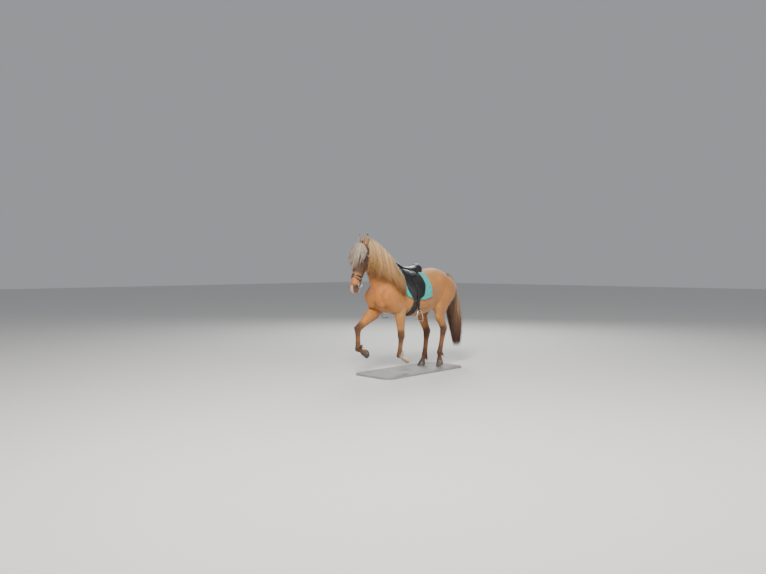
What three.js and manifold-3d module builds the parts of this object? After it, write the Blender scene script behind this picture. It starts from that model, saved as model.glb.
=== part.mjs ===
// A life-size museum model of an Icelandic horse at the tolt, saddled and bridled, on a flat base.
// Millimetres, +X towards the nose, +Y to the horse's left, +Z up.
// The origin is the middle of the base's underside.
import * as THREE from "three";
import { mergeVertices } from "three/addons/utils/BufferGeometryUtils.js";
import Module from "manifold-3d";

const wasm = await Module();
wasm.setup();

// Driving sizes
const BASE = { length: 1500, width: 620, thick: 24, corner: 90, bevel: 3 };
const GAP = 0.3; // clearance between touching pieces
const SLIVER = 0.03; // edges shorter than this are closed up
const FEET_LEVEL = BASE.thick + GAP; // the horse's own ground, on top of the base
const STRAP = 4; // thickness of bridle leather
const PAD = 12; // thickness of the saddle pad
const FLAP = 7; // thickness of the saddle's flaps

const rad = THREE.MathUtils.degToRad;
const lerp = THREE.MathUtils.lerp;

// Solids

// A closed solid from a three.js geometry, whose corners are merged where they are closer than near.
function solid(geometry, near = 1e-3) {
  const bare = (geometry.index ? geometry.toNonIndexed() : geometry).clone();
  bare.deleteAttribute("normal");
  bare.deleteAttribute("uv");
  const merged = mergeVertices(bare, near);
  const corners = merged.index.array;
  const kept = [];
  for (let i = 0; i < corners.length; i += 3) {
    const [a, b, c] = [corners[i], corners[i + 1], corners[i + 2]];
    if (a !== b && b !== c && a !== c) kept.push(a, b, c);
  }
  return new wasm.Manifold(
    new wasm.Mesh({
      numProp: 3,
      vertProperties: new Float32Array(merged.attributes.position.array),
      triVerts: new Uint32Array(kept),
    }),
  );
}

// The largest closed body of a solid: loose scraps of a cut are left out.
function largest(body) {
  return body.decompose().reduce((a, b) => (a.volume() > b.volume() ? a : b));
}

// A three.js geometry from a solid.
function geometryOf(body) {
  const mesh = body.getMesh();
  const geometry = new THREE.BufferGeometry();
  geometry.setAttribute("position", new THREE.BufferAttribute(mesh.vertProperties, mesh.numProp));
  geometry.setIndex(new THREE.BufferAttribute(mesh.triVerts, 1));
  return geometry;
}

const join = (bodies) => bodies.reduce((a, b) => a.add(b));

// A closed skin over rings that have the same number of points, with a fan at each end.
function skin(rings) {
  const sides = rings[0].length;
  const points = rings.flat();
  const middle = (ring) => ring.reduce((sum, p) => sum.add(p), new THREE.Vector3()).divideScalar(sides);
  points.push(middle(rings[0]), middle(rings.at(-1)));
  const index = [];
  for (let r = 0; r + 1 < rings.length; r++) {
    for (let i = 0; i < sides; i++) {
      const a = r * sides + i;
      const b = r * sides + ((i + 1) % sides);
      index.push(a, b, a + sides, b, b + sides, a + sides);
    }
  }
  const last = (rings.length - 1) * sides;
  for (let i = 0; i < sides; i++) {
    const next = (i + 1) % sides;
    index.push(points.length - 2, next, i);
    index.push(points.length - 1, last + i, last + next);
  }
  const made = new THREE.BufferGeometry().setFromPoints(points);
  made.setIndex(index);
  const body = solid(made);
  if (body.volume() > 0) return body;
  for (let i = 0; i < index.length; i += 3) [index[i + 1], index[i + 2]] = [index[i + 2], index[i + 1]];
  made.setIndex(index);
  return solid(made);
}

// One ring of points: a superellipse round x, y, z, whose up axis leans by tilt degrees from +X towards +Z.
function ring(row, sides, grow = 0) {
  const up = new THREE.Vector3(Math.cos(rad(row.tilt)), 0, Math.sin(rad(row.tilt)));
  const points = [];
  for (let i = 0; i < sides; i++) {
    const angle = (2 * Math.PI * i) / sides;
    const [c, s] = [Math.cos(angle), Math.sin(angle)];
    const power = 2 / (s >= 0 ? (row.squareUp ?? 2) : (row.squareDown ?? 2));
    const narrow = 1 - (row.pinch ?? 0) * Math.max(0, -s) - (row.crest ?? 0) * Math.max(0, s);
    const across = Math.sign(c) * Math.abs(c) ** power * (row.half * narrow + grow);
    const along = Math.sign(s) * Math.abs(s) ** power * ((s >= 0 ? row.up : row.down) + grow);
    const middle = new THREE.Vector3(row.x, row.y ?? 0, row.z);
    points.push(middle.addScaledVector(up, along).setY((row.y ?? 0) + across));
  }
  return points;
}

// Rows filled in between by a smooth curve through each of their sizes, steps to a gap.
function filled(rows, steps) {
  const names = Object.keys(rows[0]);
  const made = [];
  const at = (i, name) => rows[Math.min(Math.max(i, 0), rows.length - 1)][name];
  for (let i = 0; i + 1 < rows.length; i++) {
    for (let k = 0; k < steps; k++) {
      const t = k / steps;
      const row = {};
      for (const name of names) {
        const [p, a, b, n] = [at(i - 1, name), at(i, name), at(i + 1, name), at(i + 2, name)];
        const slopeA = (b - p) / 2;
        const slopeB = (n - a) / 2;
        const cubic = (2 * t ** 3 - 3 * t ** 2 + 1) * a + (t ** 3 - 2 * t ** 2 + t) * slopeA;
        row[name] = cubic + (3 * t ** 2 - 2 * t ** 3) * b + (t ** 3 - t ** 2) * slopeB;
      }
      made.push(row);
    }
  }
  made.push(rows.at(-1));
  return made;
}

const loft = (rows, sides, steps = 1, grow = 0) =>
  skin(filled(rows, steps).map((row) => ring(row, sides, grow)));

// A rounded muscle or joint: an ellipsoid of three half-sizes, leaning by pitch degrees in the side view
// and turned by yaw degrees seen from above.
function swell([x, y, z], [rx, ry, rz], pitch = 0, yaw = 0, grow = 0) {
  const ball = new THREE.SphereGeometry(1, 8, 6);
  ball.rotateX(Math.PI / 2);
  ball.scale(rx + grow, ry + grow, rz + grow);
  ball.rotateY(-rad(pitch));
  ball.rotateZ(rad(yaw));
  ball.translate(x, y, z);
  return solid(ball);
}

// A box of three sizes with its middle at a place, leaning by pitch degrees in the side view.
function block([x, y, z], [sx, sy, sz], pitch = 0) {
  const box = new THREE.BoxGeometry(sx, sy, sz);
  box.rotateY(-rad(pitch));
  box.translate(x, y, z);
  return solid(box);
}

// The space behind a plane across the body that passes through x, z and faces pitch degrees above +X.
function behind(x, z, pitch, reach = 3000) {
  const out = new THREE.Vector2(Math.cos(rad(pitch)), Math.sin(rad(pitch)));
  return block([x - (out.x * reach) / 2, 0, z - (out.y * reach) / 2], [reach, reach, reach * 2], pitch);
}

// An outline in the side view, x and z, pressed through the body from one side to the other.
function cutter(outline, from, to) {
  const shape = new THREE.Shape(outline.map(([x, z]) => new THREE.Vector2(x, z)));
  const plate = new THREE.ExtrudeGeometry(shape, { depth: to - from, bevelEnabled: false });
  plate.rotateX(Math.PI / 2);
  plate.translate(0, to, 0);
  return solid(plate);
}

// Trunk

const TRUNK_ROWS = [
  // x, top, bottom, half-width, height of the widest line, squareness of the back and of the belly
  [-712, 1190, 1010, 60, 1110, 2.0, 2.0],
  [-660, 1246, 940, 135, 1105, 2.0, 2.0],
  [-560, 1304, 860, 200, 1095, 2.0, 2.0],
  [-440, 1336, 800, 228, 1085, 1.9, 2.1],
  [-310, 1330, 758, 240, 1060, 1.8, 2.2],
  [-170, 1308, 728, 262, 1015, 1.8, 2.3],
  [-20, 1296, 712, 278, 985, 1.8, 2.3],
  [120, 1304, 716, 268, 980, 1.7, 2.3],
  [230, 1335, 730, 244, 985, 1.6, 2.2],
  [330, 1366, 748, 216, 990, 1.5, 2.1],
  [430, 1352, 762, 196, 1000, 1.6, 2.1],
  [530, 1290, 790, 184, 1000, 1.8, 2.1],
  [620, 1200, 836, 158, 990, 2.0, 2.0],
  [675, 1110, 890, 108, 985, 2.0, 2.0],
  [700, 1040, 945, 45, 990, 2.0, 2.0],
].map(([x, top, bottom, half, z, squareUp, squareDown]) => ({
  x,
  z,
  tilt: 90,
  up: top - z,
  down: z - bottom,
  half,
  squareUp,
  squareDown,
}));

// Shoulder and upper arm, level cuts from the withers down: height, middle, half-length, half-width, offset
const SHOULDER_ROWS = [
  [1300, 350, 50, 22, 92],
  [1225, 385, 105, 44, 128],
  [1120, 430, 160, 60, 150],
  [1010, 478, 192, 66, 158],
  [915, 486, 184, 68, 154],
  [845, 450, 142, 62, 146],
  [785, 420, 84, 44, 136],
];

const shoulder = (side, grow = 0) =>
  loft(
    SHOULDER_ROWS.map(([z, x, length, half, y]) => (
      { x, y: side * y, z, tilt: 0, up: length, down: length, half }
    )),
    12,
    1,
    grow,
  );

// The muscles that show on the trunk, of both sides
const trunkSwells = (grow = 0) =>
  [1, -1].flatMap((side) => [
    swell([618, side * 84, 950], [70, 88, 122], 14, 0, grow), // breast
    swell([620, side * 146, 985], [62, 58, 92], 14, 0, grow), // point of the shoulder
    swell([-690, side * 108, 1070], [62, 62, 96], -8, 0, grow), // point of the buttock
  ]);

// Legs: each axis runs through named joints in the side view, and a profile gives its sizes along them

const FORE_PROFILE = [
  // joint number and share of the way to the next, forward, backward, half-width
  [-0.25, 100, 94, 52],
  [0, 102, 98, 62],
  [0.22, 90, 88, 60],
  [0.5, 68, 67, 50],
  [0.78, 51, 49, 43],
  [0.93, 49, 46, 44],
  [1, 51, 47, 45],
  [1.1, 40, 43, 38],
  [1.25, 31, 38, 30],
  [1.55, 27, 37, 27],
  [1.82, 29, 40, 29],
  [2, 37, 43, 35],
  [2.3, 27, 33, 28],
  [2.62, 27, 30, 29],
  [2.98, 37, 37, 40],
];
const HIND_PROFILE = [
  [1.42, 76, 78, 53],
  [1.68, 53, 68, 42],
  [1.86, 42, 72, 38],
  [1.97, 43, 70, 41],
  [2.1, 42, 50, 39],
  [2.25, 34, 43, 33],
  [2.55, 29, 40, 29],
  [2.84, 31, 42, 31],
  [3, 39, 45, 36],
  [3.3, 29, 34, 29],
  [3.62, 29, 31, 30],
  [3.98, 39, 38, 41],
];
// The foot when it stands flat: the fetlock joint and the middle of the coronet, from the tip of the toe
const FETLOCK = new THREE.Vector2(-132, 148);
const CORONET = new THREE.Vector2(-84, 56);
const CORONET_LEAN = 26; // how far the hoof's upper edge slopes down to the heel

const LEGS = {
  fore_left: {
    side: 1,
    out: [128, 118, 112, 110],
    joints: [[352, 838], [312, 470], [345, 224]],
    foot: -95,
  },
  fore_right: {
    side: -1,
    out: [140, 132, 122, 116],
    joints: [[520, 800], [842, 580], [850, 332]],
    foot: -90,
  },
  hind_left: {
    side: 1,
    out: [135, 152, 128, 120, 118],
    joints: [[-525, 1060], [-352, 838], [-525, 500], [-454, 195]],
    foot: -29.5,
  },
  hind_right: {
    side: -1,
    out: [135, 152, 130, 124, 122],
    joints: [[-525, 1060], [-345, 822], [-478, 442], [-426, 148]],
    foot: 0,
  },
};

// The tip of a leg's toe, and its foot's own place turned about it
function footPlace(leg) {
  const fetlock = new THREE.Vector2(...leg.joints.at(-1));
  const turn = (p) => p.clone().rotateAround(new THREE.Vector2(), rad(leg.foot));
  const toe = fetlock.clone().sub(turn(FETLOCK));
  return { toe, coronet: toe.clone().add(turn(CORONET)) };
}

// Rows of a leg along its joints. A share of -0.25 lies above the first joint, in line with it.
function legRows(leg, profile, first = 0) {
  const path = [...leg.joints.map(([x, z]) => new THREE.Vector2(x, z)), footPlace(leg).coronet];
  const lean = path.slice(1).map((p, i) => {
    const d = p.clone().sub(path[i]);
    return THREE.MathUtils.radToDeg(Math.atan2(d.x, -d.y));
  });
  return profile.map(([share, up, down, half]) => {
    const i = Math.min(Math.max(Math.floor(share), first), path.length - 2);
    const t = share - i;
    const place = path[i].clone().lerp(path[i + 1], t);
    let tilt = lean[i];
    if (t < 0.15 && i > first) tilt = lerp((lean[i - 1] + lean[i]) / 2, lean[i], t / 0.15);
    if (t > 0.85 && i + 1 < lean.length) {
      tilt = lerp(lean[i], (lean[i] + lean[i + 1]) / 2, (t - 0.85) / 0.15);
    }
    if (i + 2 === path.length && t > 0.5) tilt = lerp(lean[i], leg.foot + CORONET_LEAN, (t - 0.5) * 2);
    const out = lerp(leg.out[i], leg.out[i + 1] ?? leg.out[i], t);
    return { x: place.x, y: leg.side * out, z: place.y, tilt, up, down, half };
  });
}

// Thigh, level cuts from the hip down: height, middle, half-length, half-width, offset
const THIGH_ROWS = [
  [1215, -530, 120, 55, 120],
  [1140, -540, 185, 84, 132],
  [1040, -538, 212, 100, 140],
  [945, -512, 200, 96, 146],
  [868, -470, 164, 82, 148],
];

function hindRows(leg) {
  const thigh = THIGH_ROWS.map(([z, x, length, half, y]) => ({
    x,
    y: leg.side * y,
    z,
    tilt: 0,
    up: length,
    down: length,
    half,
  }));
  const [stifle, hock] = [leg.joints[1], leg.joints[2]];
  const gaskin = (t, up, down, half, tilt) => ({
    x: lerp(stifle[0], hock[0], t) - (1 - t) * 70,
    y: leg.side * lerp(leg.out[1], leg.out[2], t),
    z: lerp(stifle[1], hock[1], t),
    tilt,
    up,
    down,
    half,
  });
  const upper = [gaskin(0.1, 142, 132, 74, 10), gaskin(0.26, 112, 104, 63, 20)];
  return [...thigh, ...upper, ...legRows(leg, HIND_PROFILE, 1)];
}

const legBody = (name, grow = 0) => {
  const leg = LEGS[name];
  const rows = name.startsWith("hind") ? hindRows(leg) : legRows(leg, FORE_PROFILE);
  return loft(rows, 10, 1, grow);
};

// Neck: crest and throat lines in the side view, with the half-width between them
const NECK_ROWS = [
  [270, 1330, 600, 880, 150],
  [354, 1394, 670, 985, 138],
  [446, 1470, 712, 1085, 118],
  [550, 1548, 748, 1180, 101],
  [662, 1612, 784, 1268, 88],
  [762, 1644, 824, 1338, 79],
  [844, 1640, 870, 1392, 71],
].map(([crestX, crestZ, throatX, throatZ, half]) => {
  const up = new THREE.Vector2(crestX - throatX, crestZ - throatZ);
  return {
    x: (crestX + throatX) / 2,
    z: (crestZ + throatZ) / 2,
    tilt: THREE.MathUtils.radToDeg(up.angle()),
    up: up.length() / 2,
    down: up.length() / 2,
    half,
    crest: 0.45,
  };
});

// Head: the poll, the lean of the face from upright, and rows along it from the poll to the lips
const POLL = new THREE.Vector2(866, 1616);
const FACE_LEAN = 19;
const HEAD_ROWS = [
  // along, towards the brow, towards the jaw, half-width, squareness of the brow, narrowing of the jaw
  [-18, 28, 62, 40, 2.0, 0.1],
  [8, 52, 132, 68, 2.1, 0.2],
  [55, 68, 172, 84, 2.3, 0.28],
  [110, 80, 184, 92, 2.5, 0.32],
  [165, 86, 176, 95, 2.7, 0.36],
  [215, 86, 152, 92, 2.7, 0.38],
  [270, 82, 122, 78, 2.5, 0.36],
  [330, 76, 98, 64, 2.3, 0.32],
  [400, 70, 82, 54, 2.2, 0.26],
  [460, 66, 74, 53, 2.2, 0.2],
  [515, 62, 68, 57, 2.2, 0.14],
  [560, 50, 60, 54, 2.2, 0.1],
  [592, 30, 42, 42, 2.1, 0.05],
  [606, 8, 18, 22, 2.0, 0.0],
];
const AXIS_BACK = 18; // how far the rows' middle line lies behind the poll's own point

// A place in the head: along the face from the poll, left of the middle, and out towards the brow
function inHead(along, left, out) {
  const face = new THREE.Vector3(Math.sin(rad(FACE_LEAN)), 0, -Math.cos(rad(FACE_LEAN)));
  const brow = new THREE.Vector3(Math.cos(rad(FACE_LEAN)), 0, Math.sin(rad(FACE_LEAN)));
  const poll = new THREE.Vector3(POLL.x, left, POLL.y);
  return poll.addScaledVector(face, along).addScaledVector(brow, out - AXIS_BACK);
}
const headRows = HEAD_ROWS.map(([along, up, down, half, squareUp, pinch]) => {
  const p = inHead(along, 0, 0);
  return { x: p.x, z: p.z, tilt: FACE_LEAN, up, down, half, squareUp, pinch };
});
// An ellipsoid in the head's own directions: along, across and out from the face
const headSwell = (along, left, out, [a, l, o], turn = 0, grow = 0) =>
  swell(inHead(along, left, out).toArray(), [o, l, a], FACE_LEAN + turn, 0, grow);

const EYE = { along: 186, left: 82, out: 34, radius: 21 };

function headFlesh(grow = 0) {
  return join([
    loft(headRows, 16, 1, grow),
    ...[1, -1].flatMap((side) => [
      headSwell(176, side * 76, 46, [44, 24, 34], 0, grow), // brow over the eye
      headSwell(118, side * 54, -96, [92, 30, 84], 0, grow), // cheek
      headSwell(268, side * 54, -4, [70, 22, 22], 6, grow), // cheekbone
      headSwell(526, side * 40, 18, [40, 24, 30], -10, grow), // nostril's rim
      headSwell(548, side * 26, -32, [44, 28, 26], 0, grow), // lips
    ]),
    headSwell(566, 0, -6, [36, 40, 42], 0, grow), // upper lip
    headSwell(560, 0, -58, [36, 34, 24], 0, grow), // chin
  ]);
}

function headDetail(flesh) {
  let made = flesh;
  for (const side of [1, -1]) {
    const lid = headSwell(EYE.along, side * (EYE.left + 1), EYE.out, [34, 19, 23]);
    made = made.add(lid);
  }
  for (const side of [1, -1]) {
    const slit = headSwell(EYE.along + 1, side * (EYE.left + 19), EYE.out - 1, [25, 16, 14], 8);
    const socket = headSwell(EYE.along, side * EYE.left, EYE.out, [1, 1, 1], 0, EYE.radius + GAP - 1);
    const nostril = headSwell(530, side * 62, 16, [19, 15, 11], -28);
    made = made.subtract(slit).subtract(socket).subtract(nostril);
  }
  const mouth = inHead(566, 0, -36);
  const line = block(mouth.toArray(), [4, 200, 96], FACE_LEAN - 6);
  const inner = headSwell(540, 0, -34, [60, 44, 60]);
  return made.subtract(line.subtract(inner));
}

// An ear: a leaf that is rolled into a cup, open to the front and side
const EAR = { length: 148, wide: 34, thick: 5 };
function ear(side) {
  const rings = [];
  const levels = 5;
  const root = inHead(6, side * 50, 44);
  const along = new THREE.Vector3(-0.16, side * 0.2, 1).normalize();
  const open = new THREE.Vector3(0.8, side * 0.6, 0).addScaledVector(along, -0.05).normalize();
  const across = new THREE.Vector3().crossVectors(along, open).normalize();
  for (let level = 0; level <= levels; level++) {
    const t = level / levels;
    const wide = EAR.wide * (0.62 + 1.1 * t - 1.0 * t ** 2) * Math.sqrt(1 - 0.985 * t ** 3);
    const wrap = lerp(215, 120, t);
    const outer = [];
    const inner = [];
    for (let i = 0; i <= 6; i++) {
      const angle = rad(180 - wrap / 2 + (wrap * i) / 6);
      const place = (r) =>
        root
          .clone()
          .addScaledVector(along, EAR.length * t)
          .addScaledVector(open, Math.cos(angle) * r * 0.85)
          .addScaledVector(across, Math.sin(angle) * r);
      outer.push(place(wide));
      inner.push(place(Math.max(wide - EAR.thick, wide * 0.55)));
    }
    rings.push([...outer, ...inner.reverse()]);
  }
  return skin(rings);
}

// Hooves: rings from the ground up to the coronet, from the toe back, in the foot's own side view
function hoof(leg) {
  const { toe } = footPlace(leg);
  const turn = (x, z) => new THREE.Vector2(x, z).rotateAround(new THREE.Vector2(), rad(leg.foot)).add(toe);
  const wide = leg.joints.length === 3 ? 1 : 0.94;
  const levels = [
    // toe and heel of each level in the side view, half-width
    [[-4, 0], [-112, 0], 54],
    [[-1, 5], [-115, 4], 56],
    [[-22, 32], [-119, 20], 52],
    [[-46, 66], [-122, 33], 45],
    [[-49, 70], [-120, 35], 41],
  ];
  const rings = levels.map(([front, back, half]) => {
    const points = [];
    for (let i = 0; i < 16; i++) {
      const angle = (2 * Math.PI * i) / 16;
      const t = (1 - Math.cos(angle)) / 2;
      const heel = Math.cos(angle) < 0 ? 1 + 0.16 * Math.cos(angle) : 1;
      const p = turn(lerp(front[0], back[0], t), lerp(front[1], back[1], t));
      const y = leg.side * leg.out.at(-1) + Math.sin(angle) * half * wide * heel;
      points.push(new THREE.Vector3(p.x, y, p.y));
    }
    return points;
  });
  return skin(rings);
}

// The space under the coronet of a foot, on the hoof's side of the cut
function hoofSpace(leg, raise) {
  const { toe } = footPlace(leg);
  const raised = new THREE.Vector2(-84.5, 52.5 + raise);
  const middle = raised.rotateAround(new THREE.Vector2(), rad(leg.foot)).add(toe);
  const lean = leg.foot + CORONET_LEAN;
  const down = new THREE.Vector2(0, -100).rotateAround(new THREE.Vector2(), rad(lean));
  return block([middle.x + down.x, leg.side * leg.out.at(-1), middle.y + down.y], [260, 150, 200], lean);
}

// Hair: flat, tapered locks that bend along a path of points and grow from inside the flesh

const LOCK = { steps: 4, rootShare: 0.75, tipShare: 0.12 };

// A lock of a width and a thickness, laid flat across the direction broad.
function lock(points, wide, thick, broad) {
  const curve = new THREE.CatmullRomCurve3(points, false, "centripetal");
  const rings = [];
  for (let i = 0; i <= LOCK.steps; i++) {
    const t = i / LOCK.steps;
    const place = curve.getPoint(t);
    const along = curve.getTangent(t);
    const across = broad.clone().addScaledVector(along, -broad.dot(along)).normalize();
    const out = new THREE.Vector3().crossVectors(along, across);
    const swollen = t < 0.35
      ? lerp(LOCK.rootShare, 1, t / 0.35)
      : lerp(1, LOCK.tipShare, ((t - 0.35) / 0.65) ** 1.5);
    rings.push([
      place.clone().addScaledVector(across, (wide / 2) * swollen),
      place.clone().addScaledVector(out, (thick / 2) * Math.sqrt(swollen)),
      place.clone().addScaledVector(across, (-wide / 2) * swollen),
      place.clone().addScaledVector(out, (-thick / 2) * Math.sqrt(swollen)),
    ]);
  }
  return skin(rings);
}

// Seeded draws between two bounds, so that every build is the same
let seed = 20261;
function draw(from, to) {
  seed = (seed * 1103515245 + 12345) % 2147483648;
  return from + ((to - from) * seed) / 2147483648;
}

// How far a solid reaches to one side at a place in the side view
function sideOf(body) {
  const mesh = new THREE.Mesh(geometryOf(body), new THREE.MeshBasicMaterial({ side: THREE.DoubleSide }));
  const caster = new THREE.Raycaster();
  return (x, z, side) => {
    caster.set(new THREE.Vector3(x, side * 900, z), new THREE.Vector3(0, -side, 0));
    const hit = caster.intersectObject(mesh)[0];
    return hit ? side * Math.max(side * hit.point.y, 0) : 0;
  };
}

// Build the flesh

const trunk = (grow = 0) => join([
  loft(TRUNK_ROWS, 22, 1, grow),
  shoulder(1, grow),
  shoulder(-1, grow),
  ...trunkSwells(grow),
]);
const neckBody = (grow = 0) => loft(NECK_ROWS, 16, 1, grow);
const legBodies = Object.fromEntries(Object.keys(LEGS).map((name) => [name, legBody(name)]));
const bareTrunk = trunk();
const bareHead = headFlesh();
const fleshSide = sideOf(join([bareTrunk, neckBody(), bareHead])); // the surface that the mane lies on

// Mane: the crest from the withers to the poll, with locks that fall to both sides, most to the left

const MANE = { left: 13, right: 7, rise: 42, lie: 13, wide: 98, thick: 14, longest: 480, shortest: 380 };
const crest = new THREE.CatmullRomCurve3(
  [[384, 1420], [456, 1474], [550, 1543], [662, 1607], [762, 1640], [842, 1642]]
    .map(([x, z]) => new THREE.Vector3(x, 0, z)),
);

function maneLock(t, side, reach, layer) {
  const root = crest.getPoint(t);
  const lift = MANE.rise * (0.5 + 1.3 * t * t) + layer * 8;
  const points = [
    root.clone().add(new THREE.Vector3(6, -side * 4, -34)),
    root.clone().add(new THREE.Vector3(0, side * 10, lift * 0.7)),
    root.clone().add(new THREE.Vector3(-8, side * (44 + layer * 6), lift * 0.45)),
  ];
  const drift = lerp(4, 26, t) + draw(-14, 14);
  for (const share of [0.3, 0.52, 0.76, 1]) {
    const x = root.x + drift * share - 10 * Math.sin(share * 3);
    const z = root.z - reach * share + 20;
    const flesh = Math.max(Math.abs(fleshSide(x, z, side)), 46);
    const outward = side * flesh + side * (MANE.lie + layer * 9 + 10 * share);
    points.push(new THREE.Vector3(x, outward, z));
  }
  return lock(points, MANE.wide * draw(0.85, 1.15), MANE.thick, new THREE.Vector3(1, 0, 0.2));
}

function mane() {
  const locks = [];
  for (const [side, count] of [[1, MANE.left], [-1, MANE.right]]) {
    for (let i = 0; i < count; i++) {
      const t = (i + 0.5) / count + draw(-0.015, 0.015);
      const reach = draw(MANE.shortest, MANE.longest) * (side > 0 ? 1 : 0.72);
      locks.push(maneLock(t, side, reach, i % 2));
    }
  }
  return locks;
}

// Forelock: locks from the poll between the ears, over the brow and down the face

const FORELOCK = [
  // where across the poll each lock grows, where it falls to, how far along the face, how far out
  [-28, -74, 235, 10],
  [-14, -36, 300, 4],
  [-4, 0, 335, 14],
  [6, 34, 325, 8],
  [16, 66, 295, 12],
  [26, 94, 240, 16],
];
function forelock() {
  return FORELOCK.map(([from, to, reach, out]) => {
    const rise = Math.sqrt(Math.max(0, 1 - (to / 125) ** 2));
    const points = [
      inHead(30, from * 0.6, 40),
      inHead(6, from, 96),
      inHead(34, lerp(from, to, 0.35), 134 + out * 0.4),
      inHead(40 + (reach - 40) * 0.38, lerp(from, to, 0.78), 112 + 30 * rise + out),
      inHead(40 + (reach - 40) * 0.7, to, 80 + 46 * rise + out),
      inHead(reach, to * 1.02, 62 + 44 * rise + out * 0.8),
    ];
    return lock(points, 58, 12, new THREE.Vector3(0, 1, 0));
  });
}

// Tail: a core that follows the dock, and locks that fall round it

const TAIL_ROWS = [
  // middle x, z, lean of the ring, forward, backward, half-width
  [-640, 1250, 112, 34, 30, 32],
  [-716, 1252, 72, 36, 40, 44],
  [-792, 1196, 30, 38, 44, 56],
  [-836, 1080, 12, 46, 44, 64],
  [-866, 930, 10, 50, 44, 66],
  [-896, 760, 10, 46, 42, 60],
  [-926, 600, 10, 36, 34, 44],
  [-944, 480, 10, 20, 20, 26],
].map(([x, z, tilt, up, down, half]) => ({ x, y: 0, z, tilt, up, down, half }));
const TAIL = { count: 12, turn: 0.31, wide: 106, thick: 18, spreadX: 72, spreadY: 92, lowest: 225 };

function tailLocks() {
  const locks = [];
  for (let i = 0; i < TAIL.count; i++) {
    const turn = (2 * Math.PI * i) / TAIL.count + TAIL.turn;
    const [c, s] = [Math.cos(turn), Math.sin(turn)];
    const top = 1206 - 150 * (i % 2);
    const end = TAIL.lowest + draw(0, 70) + 70 * Math.max(c, 0);
    const ring = (share, open) => {
      const z = lerp(top, end, share);
      const middle = -818 - 150 * Math.max(0, (1190 - z) / 950) ** 1.1;
      return new THREE.Vector3(middle + c * TAIL.spreadX * open, 22 * share + s * TAIL.spreadY * open, z);
    };
    const stops = [[-0.02, 0.2], [0.1, 0.66], [0.32, 0.98], [0.56, 1.04], [0.8, 0.9], [1, 0.62]];
    const points = stops.map(([share, open]) => ring(share, open));
    locks.push(lock(points, TAIL.wide * draw(0.9, 1.1), TAIL.thick, new THREE.Vector3(-s, c, 0)));
  }
  return locks;
}

// Feather: short locks behind each fetlock

function feather(leg) {
  const { toe } = footPlace(leg);
  const y = leg.side * leg.out.at(-1);
  const turn = (x, z) => new THREE.Vector2(x, z).rotateAround(new THREE.Vector2(), rad(leg.foot)).add(toe);
  return [-24, 0, 24].map((across, i) => {
    const drop = i % 2 ? 74 : 62;
    const place = ([x, z], spread) => {
      const p = turn(x, z);
      return new THREE.Vector3(p.x, y + across * spread, p.y);
    };
    const points = [
      place([-140, 160], 0.6),
      place([-172, 160 - drop * 0.2], 0.9),
      place([-186, 156 - drop * 0.6], 1.05),
      place([-184, 150 - drop], 1.1),
    ];
    return lock(points, 34, 12, new THREE.Vector3(0, 1, 0));
  });
}

// Tack

// Saddle pad, saddle, girth and stirrups lie on the trunk in layers, each level given as a distance from it.
const LEVEL = { pad: GAP, saddle: GAP + PAD + GAP, leather: GAP + PAD + GAP + FLAP + GAP };
const PAD_OUTLINE = [
  [-112, 1500], [-124, 1120], [-108, 962], [40, 930],
  [215, 936], [320, 985], [362, 1130], [346, 1500],
];
const FLAP_OUTLINE = [
  [-12, 1500], [0, 1120], [66, 980], [150, 936],
  [236, 940], [292, 1040], [326, 1180], [318, 1500],
];
const SEAT_ROWS = [
  // x, top, half-width, squareness of the top
  [-118, 1366, 92, 2.4],
  [-108, 1392, 112, 2.6],
  [-78, 1388, 118, 2.4],
  [-20, 1366, 110, 2.2],
  [60, 1356, 94, 2.1],
  [150, 1362, 84, 2.0],
  [230, 1386, 78, 2.0],
  [290, 1414, 72, 2.0],
  [312, 1422, 66, 2.0],
  [322, 1404, 50, 2.0],
].map(([x, top, half, squareUp]) => ({ x, z: 1300, tilt: 90, up: top - 1300, down: 110, half, squareUp }));
const under = (grow) => trunk(grow).add(neckBody(grow));
const layer = (from, thick) => under(from + thick).subtract(under(from));

const pad = cutter(PAD_OUTLINE, -400, 400).intersect(layer(LEVEL.pad, PAD));
const flaps = cutter(FLAP_OUTLINE, -400, 400).intersect(layer(LEVEL.saddle, FLAP));
const saddle = loft(SEAT_ROWS, 16).subtract(under(LEVEL.saddle)).add(flaps);

const GIRTH = { x: 178, wide: 88, thick: 9, top: 922 };
const girthReach = block([GIRTH.x, 0, GIRTH.top - 300], [GIRTH.wide, 700, 600]);
const girth = layer(GAP, GIRTH.thick).intersect(girthReach);

const STIRRUP = {
  x: 168, wide: 34, thick: 5, from: 1262, to: 778,
  iron: 128, height: 142, tread: 54, wire: 13,
};
const widest = fleshSide(STIRRUP.x, 985, 1) + LEVEL.leather + 4.2;

function stirrupLeather(side) {
  const middle = (STIRRUP.from + 985) / 2;
  const over = layer(LEVEL.leather, STIRRUP.thick).intersect(
    block([STIRRUP.x, side * 250, middle], [STIRRUP.wide, 320, STIRRUP.from - 985]),
  );
  const hangs = block(
    [STIRRUP.x, side * (widest + STIRRUP.thick / 2), (990 + STIRRUP.to) / 2],
    [STIRRUP.wide, STIRRUP.thick, 990 - STIRRUP.to],
  );
  return over.add(hangs);
}

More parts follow.
